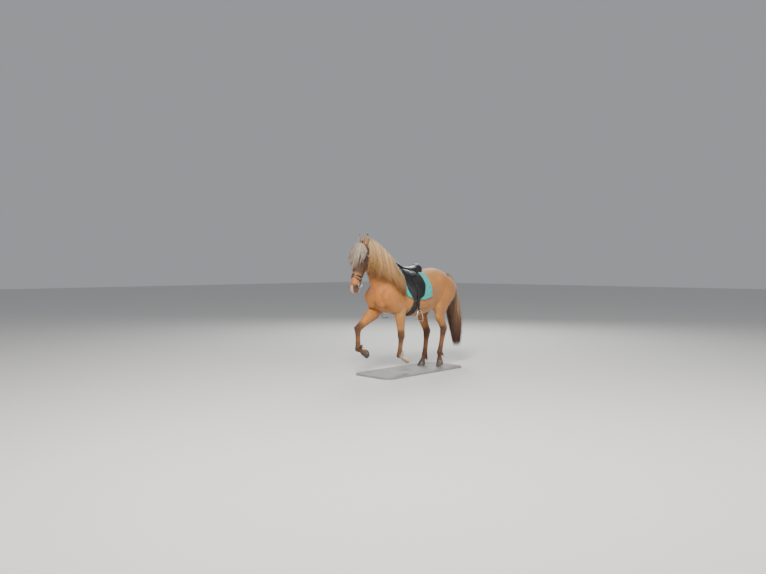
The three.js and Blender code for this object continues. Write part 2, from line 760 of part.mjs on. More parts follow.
// An iron: an arch with an eye for the leather over a flat tread, seen from the side
function iron(side) {
  const { iron: wide, height, tread, wire } = STIRRUP;
  const outline = new THREE.Shape();
  outline.moveTo(-wide / 2, 0);
  outline.lineTo(wide / 2, 0);
  outline.bezierCurveTo(wide / 2 + 4, height * 0.6, wide * 0.3, height * 0.92, 20, height);
  outline.lineTo(-20, height);
  outline.bezierCurveTo(-wide * 0.3, height * 0.92, -wide / 2 - 4, height * 0.6, -wide / 2, 0);
  const inside = new THREE.Path();
  inside.moveTo(-wide / 2 + wire, wire);
  inside.lineTo(wide / 2 - wire, wire);
  inside.bezierCurveTo(wide / 2 - wire, height * 0.55, wide * 0.2, height * 0.74, 0, height * 0.8);
  inside.bezierCurveTo(-wide * 0.2, height * 0.74, -wide / 2 + wire, height * 0.55, -wide / 2 + wire, wire);
  outline.holes.push(inside);
  const arch = new THREE.ExtrudeGeometry(outline, { depth: wire, bevelEnabled: false, curveSegments: 7 });
  arch.rotateX(Math.PI / 2);
  arch.translate(0, wire / 2, 0);
  const bottom = STIRRUP.to - GAP - height;
  const middle = side * (widest + STIRRUP.thick / 2 + tread / 2 - wire / 2 + 1);
  const bar = block([STIRRUP.x, middle, bottom + 5], [wide - 4, tread, 10]);
  const placed = solid(arch).translate([STIRRUP.x, middle, bottom]);
  return placed.add(bar);
}

// Bridle: straps are bands of the head's own surface, each cut by a slab that crosses the head
const headAndNeck = (grow) => headFlesh(grow).add(neckBody(grow));
const strapLayer = headAndNeck(GAP + STRAP).subtract(headAndNeck(GAP));
function strapSlab([alongA, outA], [alongB, outB], wide) {
  const a = inHead(alongA, 0, outA);
  const b = inHead(alongB, 0, outB);
  const pitch = THREE.MathUtils.radToDeg(Math.atan2(b.z - a.z, b.x - a.x));
  return block(a.clone().lerp(b, 0.5).toArray(), [a.distanceTo(b), 400, wide], pitch);
}
const bridle = largest(
  join([
    strapSlab([-70, 96], [62, -6], 22), // headpiece
    strapSlab([46, 4], [466, -30], 18), // cheekpieces
    strapSlab([70, 130], [48, -4], 20), // browband
    strapSlab([-50, 100], [104, -240], 16), // throatlatch
    strapSlab([392, 130], [404, -150], 24), // noseband
    strapSlab([404, 130], [486, -150], 14), // flash strap
  ]).intersect(strapLayer),
);

const BIT = { along: 500, out: -26, ring: 31, wire: 4 };
function bitRing(side) {
  const ring = new THREE.TorusGeometry(BIT.ring, BIT.wire, 6, 16);
  ring.rotateX(Math.PI / 2);
  const place = inHead(BIT.along, side * 68, BIT.out);
  ring.translate(...place.toArray());
  return solid(ring);
}

// Base

function board() {
  const { length, width, thick, corner, bevel } = BASE;
  const [x, y] = [length / 2 - bevel, width / 2 - bevel];
  const shape = new THREE.Shape();
  shape.moveTo(-x + corner, -y);
  shape.lineTo(x - corner, -y);
  shape.absarc(x - corner, -y + corner, corner, -Math.PI / 2, 0);
  shape.absarc(x - corner, y - corner, corner, 0, Math.PI / 2);
  shape.absarc(-x + corner, y - corner, corner, Math.PI / 2, Math.PI);
  shape.absarc(-x + corner, -y + corner, corner, Math.PI, Math.PI * 1.5);
  const settings = {
    depth: thick - 2 * bevel,
    bevelThickness: bevel,
    bevelSize: bevel,
    bevelSegments: 1,
    curveSegments: 3,
  };
  const plate = new THREE.ExtrudeGeometry(shape, settings);
  plate.translate(0, 0, bevel);
  return solid(plate);
}

// Part the flesh into nodes

const NECK_CUT = [545, 1180, 44];
const FORE_LEFT_CUT = 704;
const HIND_CUT = 744;
const FORE_RIGHT_CUT = 0.3; // share of the way from the elbow to the knee

// The space that belongs to a leg below its cut, drawn back by a clearance
function legSpace(name, clear) {
  const { side, joints } = LEGS[name];
  if (name === "fore_right") {
    const [elbow, knee] = [new THREE.Vector2(...joints[0]), new THREE.Vector2(...joints[1])];
    const axis = knee.clone().sub(elbow).normalize();
    const middle = elbow.clone().lerp(knee, FORE_RIGHT_CUT).addScaledVector(axis, 400 + clear);
    return block([middle.x, side * 170, middle.y], [800, 300, 900], THREE.MathUtils.radToDeg(axis.angle()));
  }
  const [level, x] = name === "fore_left" ? [FORE_LEFT_CUT, 330] : [HIND_CUT, -530];
  return block([x, side * 170, (level - clear) / 2 - 60], [600, 300, level - clear + 120]);
}

const footless = (name, body) => body.subtract(hoofSpace(LEGS[name], GAP));
const neckFlesh = neckBody();
const legNames = Object.keys(LEGS);

const torso = join([bareTrunk, ...Object.values(legBodies), neckFlesh.intersect(behind(...NECK_CUT))])
  .subtract(join(legNames.map((name) => legSpace(name, -GAP))));
const keepOff = join([trunk(GAP), headFlesh(3 * GAP), neckBody(GAP).intersect(behind(...NECK_CUT))]);
const neckCutOff = behind(NECK_CUT[0] + GAP, NECK_CUT[1] + GAP, NECK_CUT[2]);
const earGuard = (side) =>
  join([[0, 0, 0], [-GAP, 0, 0], [0, side * GAP, 0]].map((shift) => ear(side).translate(shift)));
const padSpace = cutter(PAD_OUTLINE.map(([x, z]) => [x + (x > 0 ? 3 : -3), z]), -400, 400);
const padSolid = padSpace.intersect(under(LEVEL.saddle));
const tack = join([bridle, saddle, padSolid, ear(1), ear(-1)]);

const COLOURS = {
  coat: { color: 0xc8935a, roughness: 0.85, metalness: 0 },
  mane: { color: 0xdcc9a6, roughness: 0.8, metalness: 0 },
  tail: { color: 0x8a6a50, roughness: 0.8, metalness: 0 },
  eye: { color: 0x1c1310, roughness: 0.15, metalness: 0 },
  darkHorn: { color: 0x4a4038, roughness: 0.5, metalness: 0 },
  lightHorn: { color: 0xc9ab90, roughness: 0.5, metalness: 0 },
  leather: { color: 0x1d1b1b, roughness: 0.5, metalness: 0 },
  strap: { color: 0x2a1c17, roughness: 0.5, metalness: 0 },
  cloth: { color: 0x2fb5a8, roughness: 0.9, metalness: 0 },
  webbing: { color: 0x26262a, roughness: 0.85, metalness: 0 },
  steel: { color: 0xa8abb0, roughness: 0.3, metalness: 1 },
  board: { color: 0x8d8a84, roughness: 0.7, metalness: 0 },
};

const horse = new THREE.Group();
function add(name, body, finish, raise = FEET_LEVEL) {
  const geometry = geometryOf(largest(solid(geometryOf(largest(body)), SLIVER)));
  geometry.translate(0, 0, raise);
  const mesh = new THREE.Mesh(geometry, new THREE.MeshStandardMaterial(finish));
  mesh.name = name;
  horse.add(mesh);
}

const leftEar = ear(1).subtract(headFlesh(2 * GAP));
add("stand_base", board(), COLOURS.board, 0);
add("torso", torso, COLOURS.coat);
const manedNeck = join([neckFlesh.subtract(neckCutOff), ...mane()]).subtract(keepOff);
add("neck", manedNeck.subtract(tack), COLOURS.mane);
add("head", join([headDetail(bareHead), ...forelock()]).subtract(tack), COLOURS.coat);
add("tail", join([loft(TAIL_ROWS, 12), ...tailLocks()]).subtract(trunk(GAP)), COLOURS.tail);
for (const name of legNames) {
  const leg = LEGS[name];
  const cut = footless(name, legBodies[name].intersect(legSpace(name, 0)).add(join(feather(leg))));
  add("leg_" + name, cut, COLOURS.coat);
  add("hoof_" + name, hoof(leg), name === "fore_left" ? COLOURS.lightHorn : COLOURS.darkHorn);
}
for (const [word, side] of [["left", 1], ["right", -1]]) {
  const eye = headSwell(EYE.along, side * EYE.left, EYE.out, [1, 1, 1], 0, EYE.radius - 1);
  add("ear_" + word, side > 0 ? leftEar : leftEar.mirror([0, 1, 0]), COLOURS.coat);
  add("eye_" + word, eye, COLOURS.eye);
  add("bit_ring_" + word, bitRing(side), COLOURS.steel);
  add("stirrup_leather_" + word, stirrupLeather(side), COLOURS.leather);
  add("stirrup_" + word, iron(side), COLOURS.steel);
}
add("saddle_pad", pad, COLOURS.cloth);
add("saddle", saddle, COLOURS.leather);
add("girth", girth, COLOURS.webbing);
add("bridle", bridle.subtract(join([1, -1].map(earGuard))), COLOURS.strap);
export default horse;
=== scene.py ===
"""An Icelandic horse at the tolt, saddled and bridled, on a flat base: skin, hair, tack and stage."""

import math

import bpy
import numpy as np
from bpy.props import FloatProperty, FloatVectorProperty, PointerProperty
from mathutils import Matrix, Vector
from mathutils.bvhtree import BVHTree


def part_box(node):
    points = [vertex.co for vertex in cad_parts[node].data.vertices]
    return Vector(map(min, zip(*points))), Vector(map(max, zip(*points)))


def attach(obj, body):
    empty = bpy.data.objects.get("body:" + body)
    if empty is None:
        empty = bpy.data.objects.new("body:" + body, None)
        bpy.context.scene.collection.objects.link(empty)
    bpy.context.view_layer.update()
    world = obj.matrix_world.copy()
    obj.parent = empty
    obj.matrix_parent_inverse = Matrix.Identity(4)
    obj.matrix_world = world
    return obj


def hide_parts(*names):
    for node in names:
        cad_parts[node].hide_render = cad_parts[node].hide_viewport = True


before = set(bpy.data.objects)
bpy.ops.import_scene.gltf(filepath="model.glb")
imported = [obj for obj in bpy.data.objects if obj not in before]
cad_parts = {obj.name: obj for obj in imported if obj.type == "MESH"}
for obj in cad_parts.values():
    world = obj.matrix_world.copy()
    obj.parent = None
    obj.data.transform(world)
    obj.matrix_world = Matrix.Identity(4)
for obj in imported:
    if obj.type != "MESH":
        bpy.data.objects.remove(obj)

bl_info = {
    "name": "Icelandic horse",
    "version": (1, 0, 0),
    "blender": (4, 5, 0),
    "location": "View3D > Sidebar > Horse",
    "description": "Builds a saddled Icelandic horse at the tolt on its base",
    "category": "Add Mesh",
}

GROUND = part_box("stand_base")[1][2] + 0.0003  # the horse's own ground level, metres
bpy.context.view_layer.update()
MM = 0.001
TINY = 1e-9
WELD = 1e-6  # points closer than this, in metres, are made one


# Sizes and colours


def length(name, what, value):
    return FloatProperty(name=name, description=what, default=value, unit="LENGTH")


def colour(name, what, value):
    return FloatVectorProperty(name=name, description=what, default=value, subtype="COLOR", min=0, max=1)


class HorseSizes(bpy.types.PropertyGroup):
    voxel: length("Skin grain", "Grid of the skin's remesh", 0.0045)
    mane_strand: length("Mane strand", "Width of a strand of the mane", 0.0048)
    tail_strand: length("Tail strand", "Width of a strand of the tail", 0.0054)
    strap: length("Strap", "Thickness of the bridle's leather", 0.0035)
    pad: length("Pad", "Thickness of the saddle pad", 0.010)
    flap: length("Flap", "Thickness of the saddle's flaps", 0.005)


class HorseColours(bpy.types.PropertyGroup):
    coat: colour("Coat", "Golden tan of the body", (0.40, 0.160, 0.036))
    # the pale coat of the belly, also blended onto the top of the back as painted sunlight
    coat_pale_and_painted_sun: colour("Pale coat", "Paler hair of the belly and flanks", (0.49, 0.235, 0.072))
    points: colour("Points", "Dark brown of the lower legs and face", (0.055, 0.022, 0.011))
    pink: colour("Pink skin", "Bare skin of the nose", (0.62, 0.40, 0.33))
    mane: colour("Mane", "Flaxen hair of the mane", (0.50, 0.345, 0.185))
    mane_tip: colour("Mane tips", "Tan ends of the mane", (0.31, 0.135, 0.040))
    forelock: colour("Forelock", "Pale grey cream hair", (0.40, 0.325, 0.255))
    tail: colour("Tail root", "Greyish cream hair", (0.40, 0.28, 0.18))
    tail_tip: colour("Tail end", "Reddish brown hair", (0.105, 0.045, 0.024))
    horn: colour("Dark horn", "Three of the hooves", (0.050, 0.040, 0.034))
    pale_horn: colour("Pale horn", "The hoof of the white foot", (0.55, 0.42, 0.33))
    leather: colour("Saddle leather", "Black leather", (0.008, 0.0075, 0.0075))
    strap: colour("Bridle leather", "Dark brown leather", (0.030, 0.016, 0.011))
    cloth: colour("Pad cloth", "Turquoise cotton", (0.012, 0.34, 0.30))
    web: colour("Girth", "Dark webbing", (0.020, 0.020, 0.024))
    steel: colour("Steel", "Stirrups, bit and buckles", (0.60, 0.61, 0.63))
    board: colour("Base", "Painted board", (0.24, 0.235, 0.23))


def sizes():
    return bpy.context.scene.horse_sizes


def colours():
    return bpy.context.scene.horse_colours


# Shader writing


class Wire:
    """A number socket that takes part in sums."""

    def __init__(self, shader, socket):
        self.shader = shader
        self.socket = socket

    def _sum(self, operation, *values):
        return self.shader.node("ShaderNodeMath", {"operation": operation}, list(values))

    def __add__(self, other):
        return self._sum("ADD", self, other)

    __radd__ = __add__

    def __mul__(self, other):
        return self._sum("MULTIPLY", self, other)

    __rmul__ = __mul__


class Shader:
    """One material and the one method that adds its nodes."""

    def __init__(self, name):
        self.material = bpy.data.materials.new(name)
        self.material.use_nodes = True
        self.tree = self.material.node_tree
        self.surface = self.tree.nodes["Principled BSDF"]

    def node(self, kind, settings=None, values=None, out=0):
        made = self.tree.nodes.new(kind)
        for key, value in (settings or {}).items():
            setattr(made, key, value)
        pairs = enumerate(values) if isinstance(values, list) else (values or {}).items()
        for key, value in pairs:
            self._feed(made.inputs[key], value)
        return Wire(self, made.outputs[out])

    def _feed(self, socket, value):
        if isinstance(value, Wire):
            self.tree.links.new(value.socket, socket)
        elif isinstance(value, (int, float, str)):
            socket.default_value = value
        else:
            value = tuple(value)
            socket.default_value = (*value, 1.0) if socket.type == "RGBA" and len(value) == 3 else value

    def place(self):
        return self.node("ShaderNodeTexCoord", out="Object")

    def stretched(self, scale):
        return self.node("ShaderNodeMapping", {}, {"Vector": self.place(), "Scale": scale})

    def noise(self, scale, detail=3.0, where=None):
        values = {"Vector": where or self.place(), "Scale": scale, "Detail": detail, "Roughness": 0.55}
        return self.node("ShaderNodeTexNoise", {}, values, "Fac")

    def bands(self, direction, scale):
        settings = {"wave_type": "BANDS", "bands_direction": direction}
        return self.node("ShaderNodeTexWave", settings, {"Vector": self.place(), "Scale": scale}, "Fac")

    def mix(self, share, first, second, blend="MIX"):
        settings = {"data_type": "RGBA", "blend_type": blend}
        made = self.node("ShaderNodeMix", settings, None, 2)
        node = made.socket.node
        self._feed(node.inputs[0], share)
        self._feed(node.inputs[6], first)
        self._feed(node.inputs[7], second)
        return made

    def ranged(self, value, low, high, to_low=0.0, to_high=1.0):
        return self.node("ShaderNodeMapRange", {"clamp": True}, [value, low, high, to_low, to_high])

    def bump(self, height, strength, distance):
        values = {"Height": height, "Strength": strength, "Distance": distance}
        return self.node("ShaderNodeBump", {}, values, "Normal")

    def finish(self, **sockets):
        for name, value in sockets.items():
            self._feed(self.surface.inputs[name.replace("_", " ")], value)
        return self.material


# Mesh making


def placed(name, data):
    """A new object in the scene, round a mesh, a camera or a light."""
    piece = bpy.data.objects.new(name, data)
    bpy.context.scene.collection.objects.link(piece)
    return piece


def new_piece(name, vertices, faces, smooth=True):
    mesh = bpy.data.meshes.new(name)
    mesh.from_pydata([tuple(v) for v in np.asarray(vertices).tolist()], [], faces)
    mesh.validate()
    mesh.update()
    if smooth:
        mesh.shade_smooth()
    return placed(name, mesh)


def dress(piece, material, replaced=()):
    piece.data.materials.clear()
    piece.data.materials.append(material)
    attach(piece, "root")
    if replaced:
        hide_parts(*replaced)
    return piece


def choose(piece):
    bpy.ops.object.select_all(action="DESELECT")
    piece.select_set(True)
    bpy.context.view_layer.objects.active = piece


def apply_modifier(piece, kind, **settings):
    choose(piece)
    added = piece.modifiers.new(kind.title(), kind)
    for key, value in settings.items():
        setattr(added, key, value)
    bpy.ops.object.modifier_apply(modifier=added.name)


def outward(piece):
    """Merges doubles and turns every face outwards."""
    choose(piece)
    bpy.ops.object.mode_set(mode="EDIT")
    bpy.ops.mesh.select_all(action="SELECT")
    bpy.ops.mesh.remove_doubles(threshold=WELD)
    bpy.ops.mesh.normals_make_consistent(inside=False)
    bpy.ops.object.mode_set(mode="OBJECT")


def points_of(piece):
    flat = np.empty(len(piece.data.vertices) * 3, dtype=np.float32)
    piece.data.vertices.foreach_get("co", flat)
    return flat.reshape(-1, 3).astype(np.float64)


def normals_of(piece):
    flat = np.empty(len(piece.data.vertices) * 3, dtype=np.float32)
    piece.data.vertex_normals.foreach_get("vector", flat)
    return flat.reshape(-1, 3).astype(np.float64)


def move_points(piece, points):
    piece.data.vertices.foreach_set("co", np.asarray(points, dtype=np.float32).ravel())
    piece.data.update()


def unit(rows):
    """Each row of numbers, scaled to a length of 1."""
    return rows / np.maximum(np.linalg.norm(rows, axis=-1, keepdims=True), TINY)


def evened(values, reach):
    """Each value made the mean of those within reach of it."""
    wide = 2 * reach + 1
    return np.convolve(np.pad(values, reach, "edge"), np.ones(wide) / wide, "valid")


def between(p, a, b, q, u):
    """The place at a share u of the way from a to b, on a smooth curve that also passes p and q."""
    return (
        (2 * u**3 - 3 * u**2 + 1) * a
        + (u**3 - 2 * u**2 + u) * (b - p) / 2
        + (3 * u**2 - 2 * u**3) * b
        + (u**3 - u**2) * (q - a) / 2
    )


def curve_rows(rows, steps):
    """Rows filled in by a smooth curve through each column."""
    rows = np.asarray(rows, dtype=float)
    made = []
    last = len(rows) - 1
    for i in range(last):
        p, a, b, n = rows[max(i - 1, 0)], rows[i], rows[i + 1], rows[min(i + 2, last)]
        made += [between(p, a, b, n, k / steps) for k in range(steps)]
    made.append(rows[last])
    return np.array(made)


def grid_faces(rings, sides, caps=True, looped=False):
    """Faces of a tube of rings: capped at its ends, or with its last ring joined to its first."""
    faces = []
    for r in range(rings - 1):
        for i in range(sides):
            j = (i + 1) % sides
            faces.append((r * sides + i, r * sides + j, (r + 1) * sides + j, (r + 1) * sides + i))
    if caps:
        faces.append(tuple(reversed(range(sides))))
        faces.append(tuple(range((rings - 1) * sides, rings * sides)))
    if looped:
        last = (rings - 1) * sides
        for i in range(sides):
            j = (i + 1) % sides
            faces.append((last + i, last + j, j, i))
    return faces


def flesh_tube(rows, sides=40, steps=5):
    """A closed body through rings.

    A row is x, y and z, the ring's lean in degrees, its reach up and down, its half-width, its squareness
    up and down, and how far it narrows below and above.
    """
    rows = curve_rows(rows, steps)
    angle = 2 * np.pi * np.arange(sides) / sides
    c, s = np.cos(angle), np.sin(angle)
    rings = []
    for x, y, z, lean, up, down, half, n_up, n_down, pinch, crest in rows:
        power = np.where(s >= 0, 2 / n_up, 2 / n_down)
        narrow = 1 - pinch * np.maximum(0, -s) - crest * np.maximum(0, s)
        across = np.sign(c) * np.abs(c) ** power * half * narrow
        along = np.sign(s) * np.abs(s) ** power * np.where(s >= 0, up, down)
        a = math.radians(lean)
        rings.append(np.stack([x + along * math.cos(a), y + across, z + along * math.sin(a)], axis=1))
    return np.concatenate(rings), grid_faces(len(rings), sides)


def swelling(centre, radii, pitch=0.0, turn=0.0, rings=14, sides=22):
    theta = np.pi * np.arange(1, rings) / rings
    phi = 2 * np.pi * np.arange(sides) / sides
    ball = np.stack(
        [
            np.outer(np.sin(theta), np.cos(phi)).ravel(),
            np.outer(np.sin(theta), np.sin(phi)).ravel(),
            np.repeat(np.cos(theta), sides),
        ],
        axis=1,
    )
    points = ball * np.asarray(radii, dtype=float)
    p, t = math.radians(pitch), math.radians(turn)
    x = points[:, 0] * math.cos(p) - points[:, 2] * math.sin(p)
    z = points[:, 0] * math.sin(p) + points[:, 2] * math.cos(p)
    y = points[:, 1]
    points = np.stack([x * math.cos(t) - y * math.sin(t), x * math.sin(t) + y * math.cos(t), z], axis=1)
    return points + np.asarray(centre, dtype=float), grid_faces(rings - 1, sides)


def joined(bodies):
    vertices, faces, count = [], [], 0
    for points, polygons in bodies:
        vertices.append(points)
        faces += [tuple(i + count for i in polygon) for polygon in polygons]
        count += len(points)
    return np.concatenate(vertices), faces


# The horse's form, in millimetres above its own ground

# x, top, underside, half-width, height of the widest place, squareness up and down
TRUNK = [
    (-712, 1190, 1010, 60, 1110, 2.0, 2.0),
    (-660, 1246, 940, 135, 1105, 2.0, 2.0),
    (-560, 1304, 860, 200, 1095, 2.0, 2.0),
    (-440, 1336, 800, 228, 1085, 1.9, 2.1),
    (-310, 1330, 758, 240, 1060, 1.8, 2.2),
    (-170, 1308, 728, 262, 1015, 1.8, 2.3),
    (-20, 1296, 712, 278, 985, 1.8, 2.3),
    (120, 1304, 716, 268, 980, 1.7, 2.3),
    (230, 1335, 730, 244, 985, 1.6, 2.2),
    (330, 1366, 748, 216, 990, 1.5, 2.1),
    (430, 1352, 762, 196, 1000, 1.6, 2.1),
    (530, 1290, 790, 184, 1000, 1.8, 2.1),
    (620, 1200, 836, 158, 990, 2.0, 2.0),
    (675, 1110, 890, 108, 985, 2.0, 2.0),
    (700, 1040, 945, 45, 990, 2.0, 2.0),
]
# height, x, half-length, half-width, distance from the middle
SHOULDER = [
    (1300, 350, 50, 22, 92),
    (1225, 385, 105, 44, 128),
    (1120, 430, 160, 60, 150),
    (1010, 478, 192, 66, 158),
    (915, 486, 184, 68, 154),
    (845, 450, 142, 62, 146),
    (785, 420, 84, 44, 136),
]
THIGH = [
    (1215, -530, 120, 55, 120),
    (1140, -540, 185, 84, 132),
    (1040, -538, 212, 100, 140),
    (945, -512, 200, 96, 146),
    (868, -470, 164, 82, 148),
]
# x and height of the crest, x and height of the throat, half-width
NECK = [
    (270, 1330, 600, 880, 150),
    (354, 1394, 670, 985, 138),
    (446, 1470, 712, 1085, 118),
    (550, 1548, 748, 1180, 101),
    (662, 1612, 784, 1268, 88),
    (762, 1644, 824, 1338, 79),
    (844, 1640, 870, 1392, 71),
]
CREST = [(384, 1420), (456, 1474), (550, 1543), (662, 1607), (762, 1640), (842, 1642)]
# place along the leg in joints from its top, reach ahead and behind, half-width
FORE = [
    (-0.25, 100, 94, 52),
    (0, 102, 98, 62),
    (0.22, 90, 88, 60),
    (0.5, 68, 67, 50),
    (0.78, 51, 49, 43),
    (0.93, 49, 46, 44),
    (1, 51, 47, 45),
    (1.1, 40, 43, 38),
    (1.25, 31, 38, 30),
    (1.55, 27, 37, 27),
    (1.82, 29, 40, 29),
    (2, 37, 43, 35),
    (2.3, 27, 33, 28),
    (2.62, 27, 30, 29),
    (2.98, 37, 37, 40),
]
HIND = [
    (1.42, 76, 88, 53),
    (1.68, 53, 68, 42),
    (1.86, 42, 72, 38),
    (1.97, 43, 70, 41),
    (2.1, 42, 50, 39),
    (2.25, 34, 43, 33),
    (2.55, 29, 40, 29),
    (2.84, 31, 42, 31),
    (3, 39, 45, 36),
    (3.3, 29, 34, 29),
    (3.62, 29, 31, 30),
    (3.98, 39, 38, 41),
]
FETLOCK, CORONET, CORONET_LEAN = (-132, 148), (-84, 56), 26
# side, distance of each joint from the middle, the joints in the side view, the foot's lean in degrees
LEGS = {
    "fore_left": (1, (128, 118, 112, 110), ((352, 838), (312, 470), (345, 224)), -95),
    "fore_right": (-1, (140, 132, 122, 116), ((520, 800), (842, 580), (850, 332)), -90),
    "hind_left": (1, (135, 152, 128, 120, 118), ((-525, 1060), (-352, 838), (-525, 500), (-454, 195)), -29.5),
    "hind_right": (-1, (135, 152, 130, 124, 122), ((-525, 1060), (-345, 822), (-478, 442), (-426, 148)), 0),
}
POLL, FACE_LEAN, AXIS_BACK = (866, 1616), 19, 18
# place along the face from the poll, reach ahead and behind, half-width, squareness, narrowing below
HEAD = [
    (-18, 28, 62, 40, 2.0, 0.1),
    (8, 52, 132, 68, 2.1, 0.2),
    (55, 68, 172, 84, 2.3, 0.28),
    (110, 80, 184, 92, 2.5, 0.32),
    (165, 86, 176, 95, 2.7, 0.36),
    (215, 86, 152, 92, 2.7, 0.38),
    (270, 82, 122, 78, 2.5, 0.36),
    (330, 76, 98, 64, 2.3, 0.32),
    (400, 70, 82, 54, 2.2, 0.26),
    (460, 66, 74, 53, 2.2, 0.2),
    (515, 62, 68, 57, 2.2, 0.14),
    (560, 50, 60, 54, 2.2, 0.1),
    (592, 30, 42, 42, 2.1, 0.05),
    (606, 8, 18, 22, 2.0, 0.0),
]
EYE_ALONG, EYE_LEFT, EYE_OUT, EYE_RADIUS = 186, 82, 34, 21
PALE_FOOT = "fore_left"


def turned(point, degrees):
    a = math.radians(degrees)
    c, s = math.cos(a), math.sin(a)
    return np.array([point[0] * c - point[1] * s, point[0] * s + point[1] * c])


def lerp(a, b, t):
    return a + (b - a) * t


def foot_frame(name):
    """The foot's distance from the middle, the tip of its toe in the side view, and its turn in degrees."""
    side, out, joints, lean = LEGS[name]
    toe = np.array(joints[-1], dtype=float) - turned(FETLOCK, lean)
    return side * out[-1], toe, lean


def foot_point(name, x, z):
    _, toe, lean = foot_frame(name)
    return toe + turned((x, z), lean)


def leg_path(name):
    """The leg's joints in the side view, down to the coronet."""
    return [np.array(p, dtype=float) for p in LEGS[name][2]] + [foot_point(name, *CORONET)]


def leg_rows(name, profile, first=0):
    side, out, _, foot = LEGS[name]
    path = leg_path(name)
    lean = [math.degrees(math.atan2((b - a)[0], -(b - a)[1])) for a, b in zip(path, path[1:])]
    rows = []
    for share, up, down, half in profile:
        i = min(max(math.floor(share), first), len(path) - 2)
        t = share - i
        place = lerp(path[i], path[i + 1], t)
        tilt = lean[i]
        if t < 0.15 and i > first:
            tilt = lerp((lean[i - 1] + lean[i]) / 2, lean[i], t / 0.15)
        if t > 0.85 and i + 1 < len(lean):
            tilt = lerp(lean[i], (lean[i] + lean[i + 1]) / 2, (t - 0.85) / 0.15)
        if i + 2 == len(path) and t > 0.5:
            tilt = lerp(lean[i], foot + CORONET_LEAN, (t - 0.5) * 2)
        y = side * lerp(out[i], out[min(i + 1, len(out) - 1)], t)
        rows.append((place[0], y, place[1], tilt, up, down, half, 2, 2, 0, 0))
    return rows


def hind_rows(name):
    side, out, joints, _ = LEGS[name]
    rows = [(x, side * y, z, 0, length, length, half, 2, 2, 0, 0) for z, x, length, half, y in THIGH]
    stifle, hock = joints[1], joints[2]
    for t, up, down, half, tilt in ((0.1, 142, 126, 74, 2), (0.26, 112, 98, 63, -8)):
        x = lerp(stifle[0], hock[0], t) - (1 - t) * 70
        y = side * lerp(out[1], out[2], t)
        rows.append((x, y, lerp(stifle[1], hock[1], t), tilt, up, down, half, 2, 2, 0, 0))
    return rows + leg_rows(name, HIND, 1)


def in_head(along, left, out):
    """A place in the head: along the face from the poll, left of the middle, out towards the brow."""
    a = math.radians(FACE_LEAN)
    out = out - AXIS_BACK
    x = POLL[0] + along * math.sin(a) + out * math.cos(a)
    z = POLL[1] - along * math.cos(a) + out * math.sin(a)
    return np.array([x, left, z])


def head_swell(along, left, out, sizes_, turn=0.0):
    a, l, o = sizes_
    return swelling(in_head(along, left, out), (o, l, a), FACE_LEAN + turn)


def flesh_bodies():
    trunk = []
    for x, top, low, half, z, up, down in TRUNK:
        trunk.append((x, 0, z, 90, top - z, z - low, half, up, down, 0, 0))
    bodies = [flesh_tube(trunk, 64, 5)]
    neck = []
    for crest_x, crest_z, throat_x, throat_z, half in NECK:
        dx, dz = crest_x - throat_x, crest_z - throat_z
        reach = math.hypot(dx, dz) / 2
        lean = math.degrees(math.atan2(dz, dx))
        x, z = (crest_x + throat_x) / 2, (crest_z + throat_z) / 2
        neck.append((x, 0, z, lean, reach, reach, half, 2, 2, 0, 0.45))
    bodies.append(flesh_tube(neck, 48, 6))
    head = []
    for along, up, down, half, square, pinch in HEAD:
        x, _, z = in_head(along, 0, 0)
        head.append((x, 0, z, FACE_LEAN, up, down, half, square, 2, pinch, 0))
    bodies.append(flesh_tube(head, 48, 5))
    for side in (1, -1):
        rows = [(x, side * y, z, 0, length, length, half, 2, 2, 0, 0) for z, x, length, half, y in SHOULDER]
        bodies.append(flesh_tube(rows, 32, 5))
        bodies.append(swelling((618, side * 84, 950), (70, 88, 122), 14))
        bodies.append(swelling((620, side * 146, 985), (62, 58, 92), 14))
        bodies.append(swelling((-690, side * 108, 1070), (62, 62, 96), -8))
        bodies.append(head_swell(176, side * 76, 46, (44, 24, 34)))
        bodies.append(head_swell(118, side * 54, -96, (92, 30, 84)))
        bodies.append(head_swell(268, side * 54, -4, (70, 22, 22), 6))
        bodies.append(head_swell(526, side * 40, 18, (40, 24, 30), -10))
        bodies.append(head_swell(548, side * 26, -32, (44, 28, 26)))
        bodies.append(head_swell(EYE_ALONG, side * (EYE_LEFT + 1), EYE_OUT, (34, 17, 23)))
    bodies.append(head_swell(566, 0, -6, (36, 40, 42)))
    bodies.append(head_swell(560, 0, -58, (36, 34, 24)))
    for name in LEGS:
        rows = hind_rows(name) if name.startswith("hind") else leg_rows(name, FORE)
        bodies.append(flesh_tube(rows, 28, 5))
    return bodies


def lifted(points):
    """Millimetres above the horse's ground to metres in the model's frame."""
    points = np.asarray(points, dtype=float) * MM
    points[..., 2] += GROUND
    return points


def near_line(points, a, b, radius):
    """1 on the line from a to b, falling off smoothly to 0 away from it."""
    a, b = lifted(a), lifted(b)
    run = b - a
    t = np.clip(((points - a) @ run) / max(run @ run, 1e-12), 0, 1)
    away = np.linalg.norm(points - (a + t[:, None] * run), axis=1) / (radius * MM)
    return np.exp(-(away**2))


